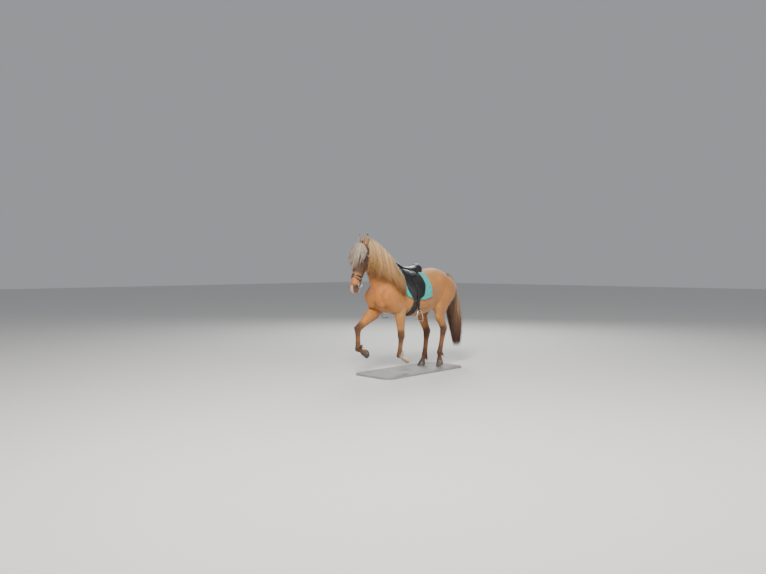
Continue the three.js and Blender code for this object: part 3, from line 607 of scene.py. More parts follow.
# Muscle and bone that show through the skin: the two ends of a line, its radius and its height.
# A height below zero is a hollow. Each is made on both sides.
MODELLING = [
    ((350, 95, 1290), (600, 170, 1010), 42, 7),
    ((420, 120, 1320), (640, 165, 1030), 20, -5),
    ((320, 130, 1250), (500, 205, 960), 26, -5),
    ((330, 200, 1000), (400, 190, 860), 70, 9),
    ((270, 200, 1080), (310, 170, 820), 24, -6),
    ((345, 150, 850), (345, 165, 810), 34, 8),
    ((690, 0, 1120), (660, 0, 860), 20, -12),
    ((640, 95, 860), (560, 130, 800), 26, -5),
    ((820, 40, 1400), (640, 110, 1090), 24, -7),
    ((800, 70, 1470), (560, 135, 1150), 34, 5),
    ((700, 60, 1560), (420, 110, 1330), 38, -3),
    ((-300, 225, 1150), (-330, 225, 1080), 70, -11),
    ((-400, 190, 1240), (-380, 200, 1215), 38, 9),
    ((-520, 185, 1190), (-480, 210, 1000), 90, 5),
    ((-640, 150, 1180), (-600, 190, 900), 22, -6),
    ((-690, 120, 1120), (-640, 150, 880), 30, 6),
    ((-350, 190, 900), (-340, 190, 860), 52, 8),
    ((-230, 200, 860), (-330, 190, 780), 30, -4),
    ((150, 240, 850), (-150, 255, 860), 60, 3),
    ((-640, 60, 1262), (-440, 90, 1330), 40, 3),
    ((-700, 0, 1235), (-450, 0, 1350), 16, -3),
]


def leg_modelling(name):
    """Hollows between bone and tendon, and the points of the joints, of one leg."""
    side, out, _, _ = LEGS[name]
    hind = name.startswith("hind")
    path = leg_path(name)
    first = 2 if hind else 1
    made = []

    def at(i, t, forward, wide):
        d = path[i + 1] - path[i]
        d = d / np.linalg.norm(d)
        ahead = np.array([-d[1], d[0]])
        p = lerp(path[i], path[i + 1], t) + ahead * forward
        y = side * lerp(out[i], out[min(i + 1, len(out) - 1)], t)
        return (p[0], y + wide, p[1])

    for wide in (30, -30):
        made.append((at(first, 0.2, -12, wide), at(first, 0.85, -12, wide), 9, -4.5))
        made.append((at(first, 0.97, -22, wide * 1.2), at(first, 1.0, -22, wide * 1.2), 14, 3))
        made.append((at(first + 1, 0.4, -8, wide), at(first + 1, 0.75, -8, wide), 10, -2.5))
    if hind:
        for wide in (34, -34):
            made.append((at(1, 0.72, -38, wide), at(1, 0.92, -44, wide), 15, -8))
            made.append((at(2, 0.03, 8, wide), at(2, 0.08, 8, wide), 16, 4))
        made.append((at(1, 0.96, -70, 0), at(1, 0.99, -70, 0), 18, 5))
    else:
        for wide in (44, -44):
            made.append((at(1, -0.03, 6, wide), at(1, 0.03, 6, wide), 15, 4))
            made.append((at(0, 0.7, -6, wide), at(0, 0.9, -4, wide), 14, -3))
        made.append((at(1, -0.02, -48, 0), at(1, 0.02, -48, 0), 16, 4))
        made.append((at(0, 0.3, 40, side * 40), at(0, 0.6, 30, side * 34), 26, 4))
    return made


# place along, left of and out from the face's axis, reach and depth of each hollow of the nostril
NOSTRIL = [(534, 60, 18, 12, 20), (524, 60, 24, 9, 13), (542, 56, 10, 8, 10)]


def sculpt(points, normals):
    """Moves the skin's points along their normals to bring out the modelling."""
    lift = np.zeros(len(points))
    for a, b, radius, height in MODELLING:
        for side in (1, -1):
            if a[1] == 0 and b[1] == 0 and side < 0:
                continue
            lift += height * near_line(points, (a[0], a[1] * side, a[2]), (b[0], b[1] * side, b[2]), radius)
    for name in LEGS:
        for a, b, radius, height in leg_modelling(name):
            lift += height * near_line(points, a, b, radius)
    head_lines = [
        ((205, 84, 2), (330, 58, 6), 13, 4),  # crest of the cheekbone
        ((225, 76, -40), (330, 56, -30), 18, -5),  # below it
        ((150, 96, -40), (90, 92, -130), 26, 3),  # cheek
        ((190, 60, -120), (260, 50, -110), 16, -5),  # under the jaw's branch
        ((300, 34, 60), (440, 30, 52), 14, -4),  # beside the bridge of the nose
        ((235, 80, 44), (280, 62, 48), 14, -5),  # before the eye
        ((150, 86, 62), (160, 84, 60), 14, -6),  # hollow over the eye
        ((500, 46, 34), (540, 50, 26), 11, 4),  # rim of the nostril
        ((470, 50, -22), (505, 54, -24), 12, -4),  # corner of the lips
        ((600, 0, -4), (604, 0, -6), 14, 2),
    ]
    for a, b, radius, height in head_lines:
        for side in (1, -1):
            one, two = in_head(a[0], a[1] * side, a[2]), in_head(b[0], b[1] * side, b[2])
            lift += height * near_line(points, one, two, radius)
    moved = points + normals * (lift * MM)[:, None]
    # nostrils: a comma that runs deep into the muzzle
    for side in (1, -1):
        for along, left, out, reach, depth in NOSTRIL:
            centre = lifted(in_head(along, left * side, out))
            away = np.linalg.norm(points - centre, axis=1) / (reach * MM)
            pull = np.clip(1.25 - away, 0, 1) ** 0.6
            moved[:, 1] -= side * depth * MM * np.where(away < 1.25, pull, 0)
    # the line of the mouth, from its corner round the lips
    a = math.radians(FACE_LEAN)
    rel = points - lifted(in_head(0, 0, 0))
    along = (rel[:, 0] * math.sin(a) - rel[:, 2] * math.cos(a)) / MM
    out = (rel[:, 0] * math.cos(a) + rel[:, 2] * math.sin(a)) / MM
    line = -36 + 0.10 * (along - 560) + 5 * np.sin((along - 505) / 30)
    deep = np.exp(-(((out - line) / 4.2) ** 2)) * np.clip((along - 500) / 16, 0, 1) * (out > -70)
    moved -= normals * (7 * MM * deep)[:, None] * (np.abs(rel[:, 1]) < 0.075)[:, None]
    # eye openings
    for side in (1, -1):
        centre = lifted(in_head(EYE_ALONG + 1, side * (EYE_LEFT + 18), EYE_OUT))
        d = points - centre
        da = (d[:, 0] * math.sin(a) - d[:, 2] * math.cos(a)) / (25 * MM)
        do = (d[:, 0] * math.cos(a) + d[:, 2] * math.sin(a)) / (15 * MM)
        inside = (da**2 + do**2 < 1.0) & (np.abs(d[:, 1]) < 0.03)
        moved[inside, 1] -= side * 0.016 * np.sqrt(1 - (da**2 + do**2)[inside])
    return moved


def smooth_step(x, low, high):
    t = np.clip((x - low) / (high - low), 0, 1)
    return t * t * (3 - 2 * t)


def blend(first, second, share):
    return first + (np.asarray(second) - first) * share[:, None]


WHITE_FOOT = (0.60, 0.49, 0.41)
SMOKY_FACE = (0.060, 0.030, 0.020)
BROWN_JAW = (0.13, 0.060, 0.028)
TAN_NOSE = (0.40, 0.150, 0.045)
DARK_MUZZLE = (0.065, 0.042, 0.036)
PALE_CHIN = (0.58, 0.50, 0.44)
# near-black round the eyes and nostrils: their dark bare skin, with painted shade in the hollows of the
# nostrils and eye openings
BARE_SKIN_AND_HOLLOW_SHADE = (0.022, 0.014, 0.011)


def coat_and_painted_light(points):
    """The coat's colours and marks at each point of the skin, from where it lies on the horse, with painted
    sunlight on the top and painted shade in the eye and nostril hollows.
    """
    c = colours()
    coat, pale, dark = np.array(c.coat), np.array(c.coat_pale_and_painted_sun), np.array(c.points)
    p = points.copy()
    p[:, 2] -= GROUND
    p /= MM
    tint = np.tile(coat, (len(p), 1))
    belly = smooth_step(p[:, 2], 940, 760) * smooth_step(np.abs(p[:, 0] - 60), 640, 300)
    tint = blend(tint, pale, 0.55 * belly)
    # paler towards the top of the back and hindquarters: painted sunlight on the topline
    upper = smooth_step(p[:, 2], 1080, 1300) * smooth_step(p[:, 0], 300, 0)
    tint = blend(tint, pale, 0.45 * upper)
    chest = smooth_step(p[:, 0], 420, 640)
    chest = chest * smooth_step(p[:, 2], 1300, 1100) * smooth_step(p[:, 2], 760, 900)
    tint = blend(tint, coat * (1.15, 0.95, 0.8), 0.5 * chest)
    for name in LEGS:
        side, out, _, _ = LEGS[name]
        path = leg_path(name)
        hind = name.startswith("hind")
        first = 2 if hind else 1
        for i in range(first - 1, len(path) - 1):
            a, b = path[i], path[i + 1]
            run = b - a
            low = 0.55 if i == first - 1 else 0.0
            flat = p[:, [0, 2]] - a
            t = np.clip(flat @ run / (run @ run), low, 1)
            away = flat - t[:, None] * run
            middle = side * out[min(i + 1, len(out) - 1)]
            near = np.hypot(np.hypot(away[:, 0], away[:, 1]), p[:, 1] - middle)
            down = run / np.linalg.norm(run)
            front = away @ np.array([-down[1], down[0]])
            reach = smooth_step(near, 115, 70)
            if i == first - 1:
                share = reach * smooth_step(t, 0.62, 1.0) * (0.45 + 0.4 * smooth_step(front, -20, 40))
            else:
                share = reach * (0.55 + 0.35 * smooth_step(front, -25, 25)) * (1.0 if i > first else 0.95)
            tint = blend(tint, dark, 0.85 * share)
    foot_out = foot_frame(PALE_FOOT)[0]
    white = foot_point(PALE_FOOT, -104, 92)
    near = np.linalg.norm(p - np.array([white[0], foot_out, white[1]]), axis=1)
    tint = blend(tint, WHITE_FOOT, smooth_step(near, 92, 62))
    # the head
    a = math.radians(FACE_LEAN)
    rel = p - np.array([POLL[0] - AXIS_BACK * math.cos(a), 0, POLL[1] - AXIS_BACK * math.sin(a)])
    along = rel[:, 0] * math.sin(a) - rel[:, 2] * math.cos(a)
    out = rel[:, 0] * math.cos(a) + rel[:, 2] * math.sin(a)
    head = smooth_step(along, 20, 90) * smooth_step(p[:, 0], 850, 900) * smooth_step(p[:, 2], 1020, 1060)
    smoky = head * smooth_step(along, 395, 340) * smooth_step(out, -90, -10)
    tint = blend(tint, SMOKY_FACE, 0.93 * smoky)
    jaw = head * smooth_step(along, 330, 200) * smooth_step(out, -20, -110)
    tint = blend(tint, BROWN_JAW, 0.8 * jaw)
    orange = head * smooth_step(along, 380, 410) * smooth_step(along, 520, 470)
    tint = blend(tint, TAN_NOSE, 0.9 * orange)
    muzzle = head * smooth_step(along, 488, 530)
    tint = blend(tint, DARK_MUZZLE, 0.9 * muzzle)
    snip = head * smooth_step(along, 505, 548)
    snip = snip * smooth_step(np.abs(rel[:, 1] - 4), 30, 16) * smooth_step(out, -40, -20)
    tint = blend(tint, np.array(c.pink), 0.85 * snip)
    chin = head * smooth_step(along, 500, 540) * smooth_step(out, -34, -46)
    tint = blend(tint, PALE_CHIN, 0.85 * chin)
    # darkest in and round the nostrils and eyes: dark bare skin, with painted shade in their hollows
    for side in (1, -1):
        nostril, eye = in_head(534, 62 * side, 18), in_head(EYE_ALONG, side * 92, EYE_OUT)
        for centre, low, high in ((nostril, 26, 12), (eye, 44, 24)):
            near = np.linalg.norm(p - centre, axis=1)
            tint = blend(tint, BARE_SKIN_AND_HOLLOW_SHADE, 0.92 * smooth_step(near, low, high))
    return np.clip(tint, 0, 1)


def paint(piece, name, tints):
    layer = piece.data.color_attributes.new(name, "FLOAT_COLOR", "POINT")
    flat = np.ones((len(tints), 4), dtype=np.float32)
    flat[:, :3] = tints
    layer.data.foreach_set("color", flat.ravel())


def skin_finish():
    s = Shader("short_coat")
    # vertex colours: coat marks, with painted sunlight on the top and painted shade in the hollows
    tint = s.node("ShaderNodeVertexColor", {"layer_name": "markings"}, None, "Color")
    streak = s.noise(1.0, 4.0, s.stretched((150, 260, 60)))
    fine = s.noise(1.0, 3.0, s.stretched((520, 800, 190)))
    broad = s.noise(7.0, 3.0)
    shade = s.mix(s.ranged(streak, 0.3, 0.72), (0.70, 0.70, 0.70), (1.24, 1.2, 1.14))
    tone = s.mix(1.0, tint, shade, "MULTIPLY")
    patch = s.mix(s.ranged(broad, 0.32, 0.7), (0.86, 0.83, 0.80), (1.1, 1.1, 1.1))
    tone = s.mix(1.0, tone, patch, "MULTIPLY")
    height = streak * 0.7 + fine * 0.5
    return s.finish(
        Base_Color=tone,
        Roughness=s.ranged(fine, 0.3, 0.7, 0.52, 0.74),
        Normal=s.bump(height, 0.5, 0.003),
        Sheen_Weight=0.22,
        Sheen_Roughness=0.45,
        Specular_IOR_Level=0.35,
    )


SKIN = {}
SKIN_TRIANGLES = 192000
WEIGHT_STEPS = 20


def weigh(piece, name, weights):
    """A vertex group that holds the weights, rounded to a few even steps."""
    group = piece.vertex_groups.new(name=name)
    steps = np.round(weights * WEIGHT_STEPS).astype(int)
    for level in range(1, WEIGHT_STEPS + 1):
        group.add(np.nonzero(steps == level)[0].tolist(), level / WEIGHT_STEPS, "REPLACE")


def make_skin():
    """One skin over the whole horse: remeshed, softened, sculpted, and thinned where it is plain."""
    vertices, faces = joined(flesh_bodies())
    skin = new_piece("skin", lifted(vertices), faces)
    grain = sizes().voxel * 1.0
    apply_modifier(skin, "REMESH", mode="VOXEL", voxel_size=grain, adaptivity=0.0)
    points = points_of(skin)
    p = points / MM
    body = smooth_step(p[:, 2], 760, 900) * smooth_step(p[:, 0], 900, 780) * 0.98 + 0.02
    head = smooth_step(p[:, 0], 850, 900) * smooth_step(p[:, 2], 1040, 1080)
    weigh(skin, "soften", np.clip(body + 0.10 + 0.05 * head, 0, 1))
    rounds = 45
    apply_modifier(skin, "SMOOTH", factor=0.5, iterations=rounds, vertex_group="soften")
    apply_modifier(skin, "SMOOTH", factor=0.5, iterations=3)
    skin.data.update()
    points = sculpt(points_of(skin), normals_of(skin))
    move_points(skin, points)
    apply_modifier(skin, "SMOOTH", factor=0.5, iterations=2)
    # the head and the lower legs keep more of their triangles than the trunk
    p = points_of(skin) / MM
    head = smooth_step(p[:, 0], 880, 930) * smooth_step(p[:, 2], 1060, 1100)
    weigh(skin, "keep", 1 - 0.85 * np.clip(head + 0.55 * smooth_step(p[:, 2], 760, 680), 0, 1))
    count = sum(len(f.vertices) - 2 for f in skin.data.polygons)
    ratio = min(1.0, SKIN_TRIANGLES / count)
    apply_modifier(skin, "DECIMATE", ratio=ratio, vertex_group="keep", vertex_group_factor=6.0)
    skin.vertex_groups.clear()
    paint(skin, "markings", coat_and_painted_light(points_of(skin)))
    skin.data.shade_smooth()
    legs = ["leg_" + name for name in LEGS]
    dress(skin, skin_finish(), ["torso", "head", *legs])
    SKIN["piece"] = skin
    SKIN["tree"] = BVHTree.FromPolygons(
        [tuple(v) for v in points_of(skin).tolist()], [tuple(f.vertices) for f in skin.data.polygons]
    )


def cast(origin, direction, reach=3.0):
    """The first point of the skin from an origin in a direction, with its outward normal."""
    hit, normal, _, _ = SKIN["tree"].ray_cast(Vector(origin), Vector(direction).normalized(), reach)
    return (None, None) if hit is None else (np.array(hit), np.array(normal))


# Hair


def spans(paths, count):
    """Smooth curves through each row of points, sampled at count places."""
    k = paths.shape[1]
    t = np.linspace(0, k - 1, count)
    i = np.minimum(t.astype(int), k - 2)
    u = (t - i)[None, :, None]
    p = paths[:, np.maximum(i - 1, 0)]
    a = paths[:, i]
    b = paths[:, i + 1]
    q = paths[:, np.minimum(i + 2, k - 1)]
    return between(p, a, b, q, u)


def root_patch(roots):
    """A root's place on the map: the horse's left side fills one half and its right side the other."""
    x = (roots[:, 0] + 1.1) / 2.3
    z = roots[:, 2] / 1.9
    left = roots[:, 1] >= 0
    return np.stack([np.where(left, 0.01 + 0.47 * x, 0.99 - 0.47 * x), 0.02 + 0.94 * z], axis=1)


KEEL = [(1.0, -0.5), (0.0, 1.0), (-1.0, -0.5)]  # a lock's cross-section
DIAMOND = [(1.0, 0.0), (0.0, 1.0), (-1.0, 0.0), (0.0, -1.0)]


def hair_mesh(name, paths, widths, thick, across, tints, rings=8, tip=0.06, belly=0.35, corners=KEEL):
    """Closed tapered locks: one for each path, flat across a direction, with a tint at each ring."""
    n = len(paths)
    line = spans(paths, rings)
    run = unit(np.gradient(line, axis=1))
    side = unit(across[:, None, :] - run * np.sum(across[:, None, :] * run, axis=2, keepdims=True))
    out = np.cross(run, side)
    t = np.linspace(0, 1, rings)
    shape = np.where(t < belly, 0.6 + 0.4 * t / belly, 1 - (1 - tip) * ((t - belly) / (1 - belly)) ** 1.6)
    half = widths[:, None] * shape[None, :] / 2
    c = len(corners)
    edges = [line + side * (a * half)[..., None] + out * (b * half * thick)[..., None] for a, b in corners]
    points = np.stack(edges, axis=2).reshape(-1, 3)
    base = np.arange(n)[:, None] * rings * c
    r = np.arange(rings - 1)[None, :] * c
    quads = []
    for i in range(c):
        j = (i + 1) % c
        a0, b0 = base + r + i, base + r + j
        quads.append(np.stack([a0, b0, b0 + c, a0 + c], axis=2).reshape(-1, 4))
    quads = np.concatenate(quads)
    lids = np.concatenate([base + np.arange(c)[::-1], base + (rings - 1) * c + np.arange(c)])
    loops = np.concatenate([quads.ravel(), lids.ravel()])
    totals = np.concatenate([np.full(len(quads), 4), np.full(len(lids), c)])
    mesh = bpy.data.meshes.new(name)
    mesh.vertices.add(len(points))
    mesh.vertices.foreach_set("co", points.astype(np.float32).ravel())
    mesh.loops.add(len(loops))
    mesh.loops.foreach_set("vertex_index", loops.astype(np.int32))
    mesh.polygons.add(len(totals))
    starts = np.concatenate([[0], np.cumsum(totals)[:-1]])
    mesh.polygons.foreach_set("loop_start", starts.astype(np.int32))
    mesh.polygons.foreach_set("loop_total", totals.astype(np.int32))
    mesh.update(calc_edges=True)
    mesh.shade_smooth()
    piece = placed(name, mesh)
    turn = points - np.repeat(line.reshape(-1, 3), c, axis=0)
    turn /= np.maximum(np.repeat(widths, rings * c)[:, None], TINY)
    patch = np.repeat(root_patch(line[:, 0]), rings * c, axis=0)
    along = np.tile(np.repeat(t, c), n)
    flat = np.stack([patch[:, 0] + 0.0013 * turn[:, 0], patch[:, 1] + 0.0026 * (along - 0.5)], axis=1)
    layer = mesh.uv_layers.new(name="OFBake")
    layer.data.foreach_set("uv", flat[loops].astype(np.float32).ravel())
    paint(piece, "tint", np.repeat(tints.reshape(-1, 3), c, axis=0))
    return piece


def hair_finish(name, rough=0.5):
    s = Shader(name)
    tint = s.node("ShaderNodeVertexColor", {"layer_name": "tint"}, None, "Color")
    fine = s.noise(1.0, 2.0, s.stretched((900, 900, 70)))
    shade = s.mix(s.ranged(fine, 0.3, 0.7), (0.74, 0.74, 0.74), (1.16, 1.16, 1.16))
    return s.finish(
        Base_Color=s.mix(1.0, tint, shade, "MULTIPLY"),
        Roughness=s.ranged(fine, 0.3, 0.7, rough - 0.06, rough + 0.1),
        Normal=s.bump(fine, 0.35, 0.0015),
        Sheen_Weight=0.12,
        Specular_IOR_Level=0.4,
    )


def strands(guides, per_guide, spread, width, gather, wave, draw, lengths=(0.82, 1.06)):
    """Strands round each guide: spread at the root, gathered towards the guide's end, a little wavy."""
    k = guides.shape[1]
    paths = np.repeat(guides, per_guide, axis=0)
    m = len(paths)
    t = np.linspace(0, 1, k)[None, :, None]
    offset = draw.normal(0, 1, (m, 1, 3)) * np.asarray(spread)
    keep = (0.4 + 0.6 * np.minimum(t / 0.25, 1)) * (1 - gather * t)
    paths = paths + offset * keep
    phase = draw.uniform(0, 6.28, (m, 1, 3))
    beat = draw.uniform(3.0, 7.0, (m, 1, 3))
    paths = paths + wave * np.sin(beat * t + phase) * t
    reach = draw.uniform(*lengths, (m, 1, 1))
    paths = paths[:, :1] + (paths - paths[:, :1]) * (1 - (1 - reach) * t)
    widths = width * draw.uniform(0.6, 1.35, m)
    return paths, widths


def tints_along(m, rings, stops, draw, spread=0.16, together=1):
    """A tint for each ring of each strand, blended along it, lighter or darker by strand and by lock."""
    t = np.linspace(0, 1, rings)
    places = [s[0] for s in stops]
    base = np.stack([np.interp(t, places, [s[1][i] for s in stops]) for i in range(3)], axis=1)
    light = 1 + draw.normal(0, spread, (m, 1, 1))
    if together > 1:
        lock = draw.normal(0, 0.15, -(-m // together))
        light = light + np.repeat(lock, together)[:m, None, None]
    warm = 1 + draw.normal(0, 0.03, (m, 1, 1)) * np.array([1, 0, -1])
    return np.clip(base[None] * light * warm, 0.004, 0.95)


def crest_point(t):
    points = np.array([(x, 0, z) for x, z in CREST], dtype=float)
    return lifted(spans(points[None], 101)[0])[int(round(t * 100))]


def side_at(x, z, side, least):
    """How far out the skin reaches to one side at a place in the side view."""
    hit, _ = cast((x, side * 0.9, z), (0, -side, 0))
    return least if hit is None else max(abs(hit[1]), least)


def mane_guide(t, side, reach, lift, layer, drift):
    root = crest_point(t)
    points = [
        root + (0.004, 0, -0.032),
        root + (0, side * 0.012, lift * 0.55),
        root + (-0.006, side * (0.034 + layer), lift * 0.6),
    ]
    for share in (0.16, 0.36, 0.56, 0.78, 1.0):
        x = root[0] + drift * share - 0.012 * math.sin(share * 3)
        z = root[2] - reach * share + 0.012
        away = side_at(x, z, side, 0.044) + 0.010 + layer + 0.010 * share
        points.append(np.array([x, side * away, z]))
    return points


def make_mane():
    draw = np.random.default_rng(41)
    few = 1.0
    guides, under = [], []
    for side, count, share in ((1, int(86 * few), 1.0), (-1, int(52 * few), 0.72)):
        for i in range(count):
            t = 0.965 * (i + 0.5) / count + draw.uniform(-0.008, 0.008)
            t = min(max(t, 0), 0.965)
            reach = draw.uniform(0.37, 0.475) * share * (1 if t < 0.8 else 0.92)
            lift = (0.020 + 0.058 * t * t) * draw.uniform(0.7, 1.15)
            layer = draw.uniform(0, 0.024)
            drift = lerp(0.006, 0.028, t) + draw.uniform(-0.022, 0.022)
            guides.append(mane_guide(t, side, reach, lift, layer, drift))
    for side, count, share in ((1, 34, 1.0), (-1, 22, 0.72)):
        for i in range(count):
            t = (i + 0.5) / count
            lift, drift = 0.022 + 0.04 * t * t, lerp(0.006, 0.024, t)
            under.append(mane_guide(t, side, 0.40 * share, lift, 0.001, drift))
    guides, under = np.array(guides), np.array(under)
    c = colours()
    stops = [(0, c.mane), (0.3, c.mane), (0.6, np.array(c.mane) * (0.86, 0.72, 0.52)), (1, c.mane_tip)]
    rings = 9
    material = hair_finish("flaxen_hair")
    for word, side in (("left", 1), ("right", -1)):
        own = guides[np.sign(guides[:, -1, 1]) == side]
        each = int(43 * max(few, 0.5))
        paths, widths = strands(own, each, (0.012, 0.007, 0.006), sizes().mane_strand, 0.3, 0.009, draw)
        tints = tints_along(len(paths), rings, stops, draw, 0.15, each)
        across = np.tile((-side, 0, 0.1), (len(paths), 1))
        locks = hair_mesh("mane_locks_" + word, paths, widths, 0.5, across, tints, rings)
        dress(locks, material, ["neck"] if side > 0 else ())
    # the under-layer beneath the locks is tinted 0.62 times the mane: painted shade under the mane
    tints = tints_along(len(under), rings, stops, draw, 0.05) * 0.62
    widths, across = np.full(len(under), 0.040), np.tile((1.0, 0, 0.2), (len(under), 1))
    base = hair_mesh("mane_under", under, widths, 0.26, across, tints, rings, 0.2, corners=DIAMOND)
    dress(base, material)


def face_out(along, left):
    """How far the front of the face reaches out at a place along it and to one side."""
    up, half = (np.interp(along, [row[0] for row in HEAD], [row[k] for row in HEAD]) for k in (1, 3))
    return up * max(0.0, 1 - (abs(left) / (half + 10)) ** 2.3) ** 0.43


def make_forelock():
    draw = np.random.default_rng(7)
    few = 1.0
    guides = []
    for _ in range(int(62 * few) + 6):
        u = draw.uniform(-1.5, 1.5)
        to = 8 + 96 * u
        reach = 310 - 60 * abs(u) ** 1.5 + draw.uniform(-110, 40)
        loose = draw.uniform(0, 1) ** 1.4
        start = 30 * u / max(abs(u), 1)
        places = [in_head(26, start * 0.6, 46), in_head(6, start, 88 + 12 * loose)]
        brow, nose = lerp(40, reach, 0.36), lerp(40, reach, 0.7)
        for share, along, proud in ((0.35, 34, 28), (0.8, brow, 16), (1.0, nose, 10), (1.03, reach, 8)):
            half = np.interp(along, [row[0] for row in HEAD], [row[3] for row in HEAD])
            most = half + 20 + 12 * loose
            left = float(np.clip(lerp(start, to, share), -most, most))
            over = max(face_out(along, left), 50 * share * min(1, abs(u)))
            places.append(in_head(along, left, over + proud + 42 * loose * share))
        guides.append(places)
    guides = lifted(np.array(guides))
    c = colours()
    pale = np.array(c.forelock)
    stops = [(0, pale * 0.8), (0.3, pale), (0.75, pale * 0.92), (1, pale * (0.8, 0.72, 0.62))]
    paths, widths = strands(guides, 30, (0.004, 0.008, 0.004), 0.0052, 0.45, 0.005, draw)
    tints = tints_along(len(paths), 9, stops, draw, 0.15, 30)
    across = np.tile((0, 1.0, 0), (len(paths), 1))
    piece = hair_mesh("forelock", paths, widths, 0.5, across, tints, 9)
    dress(piece, hair_finish("pale_hair"))


# x and height of the tail's middle line, and its reach across and along the horse there
TAIL_LINE = [
    (-690, 1266, 16, 12),
    (-760, 1232, 40, 26),
    (-812, 1150, 58, 44),
    (-848, 980, 82, 62),
    (-882, 800, 94, 70),
    (-916, 620, 92, 70),
    (-945, 440, 76, 62),
    (-962, 262, 50, 44),
]
DOCK_LINE = [(-640, 1246), (-700, 1246), (-762, 1206), (-800, 1130), (-822, 1040)]
TAIL_CLEAR = 0.20  # height of the lowest hair above the horse's ground, metres


def make_tail():
    draw = np.random.default_rng(23)
    few = 1.0
    line = np.array([(x, 0, z) for x, z, _, _ in TAIL_LINE], dtype=float)
    last = len(TAIL_LINE) - 1
    guides = []
    for _ in range(int(150 * few)):
        turn = draw.uniform(0, 2 * np.pi)
        radius = math.sqrt(draw.uniform(0.05, 1.0))
        first = int(draw.integers(0, 3))
        swing = draw.uniform(-0.25, 0.25)
        points = []
        for k, (*_, wide, deep) in enumerate(TAIL_LINE):
            a = turn + swing * k / last
            offset = np.array([math.cos(a) * deep, math.sin(a) * wide + 20 * k / last, 0]) * radius
            points.append(line[k] + offset)
        points = np.array(points)
        points[:, 2] += draw.uniform(-18, 60) * np.linspace(0, 1, len(line))
        if first:
            points = spans(points[None, first:], len(line))[0]
            points[0] = line[first] + (points[0] - line[first]) * 0.3
        guides.append(points)
    guides = lifted(np.array(guides))
    c = colours()
    root, end = np.array(c.tail), np.array(c.tail_tip)
    stops = [(0, root * 1.1), (0.28, root), (0.5, root * (0.72, 0.6, 0.5)), (0.72, end * 1.5), (1, end)]
    each, spread, width = 26, (0.011, 0.013, 0.006), sizes().tail_strand
    paths, widths = strands(guides, int(each * max(few, 0.5)), spread, width, 0.3, 0.008, draw, (0.86, 1.04))
    paths[..., 2] = np.maximum(paths[..., 2], GROUND + TAIL_CLEAR)
    tints = tints_along(len(paths), 9, stops, draw, 0.18, each)
    outwards = paths[:, 4] - lifted(line[4]) + draw.normal(0, 0.02, (len(paths), 3))
    across = np.cross(outwards, (0, 0, -1.0))
    piece = hair_mesh("tail_locks", paths, widths, 0.5, across, tints, 9)
    dress(piece, hair_finish("tail_hair"), ["tail"])
    dock = [(x, 0, z, 62 - 9 * i, 26, 26, 30, 2, 2, 0, 0) for i, (x, z) in enumerate(DOCK_LINE)]
    vertices, faces = flesh_tube(dock, 20, 4)
    core = new_piece("dock", lifted(vertices), faces)
    outward(core)
    # the dock inside the hair is painted 0.7 times the tail's root colour: painted shade within the tail
    paint(core, "markings", np.tile(np.array(c.tail) * 0.7, (len(core.data.vertices), 1)))
    dress(core, SKIN["piece"].data.materials[0])


def make_feather():
    draw = np.random.default_rng(5)
    few = 1.0
    c = colours()
    for name in LEGS:
        y = foot_frame(name)[0]
        guides = []
        for _ in range(int(46 * few)):
            wide = draw.uniform(-1, 1)
            drop = draw.uniform(38, 72) * (1 - 0.25 * abs(wide))
            start = np.array([-128 - 24 * (1 - wide * wide), 176 - draw.uniform(0, 62)])
            places = []
            for share, back in ((0, 0), (0.3, 16), (0.65, 24), (1.0, 24)):
                p = foot_point(name, start[0] - back * (1 - 0.5 * abs(wide)), start[1] - drop * share)
                places.append((p[0], y + 30 * wide * (1 + 0.2 * share), p[1]))
            guides.append(places)
        guides = lifted(np.array(guides))
        paths, widths = strands(guides, 16, (0.003, 0.004, 0.003), 0.0036, 0.3, 0.003, draw, (0.7, 1.1))
        dark = np.array((0.62, 0.50, 0.40)) if name == PALE_FOOT else np.array(c.points) * 1.5
        tints = tints_along(len(paths), 5, [(0, dark), (1, dark * 1.25)], draw, 0.16)
        across = np.tile((0.2, 1.0, 0), (len(paths), 1))
        piece = hair_mesh("feather_" + name, paths, widths, 0.5, across, tints, 5)
        dress(piece, hair_finish("feather_hair_" + name))


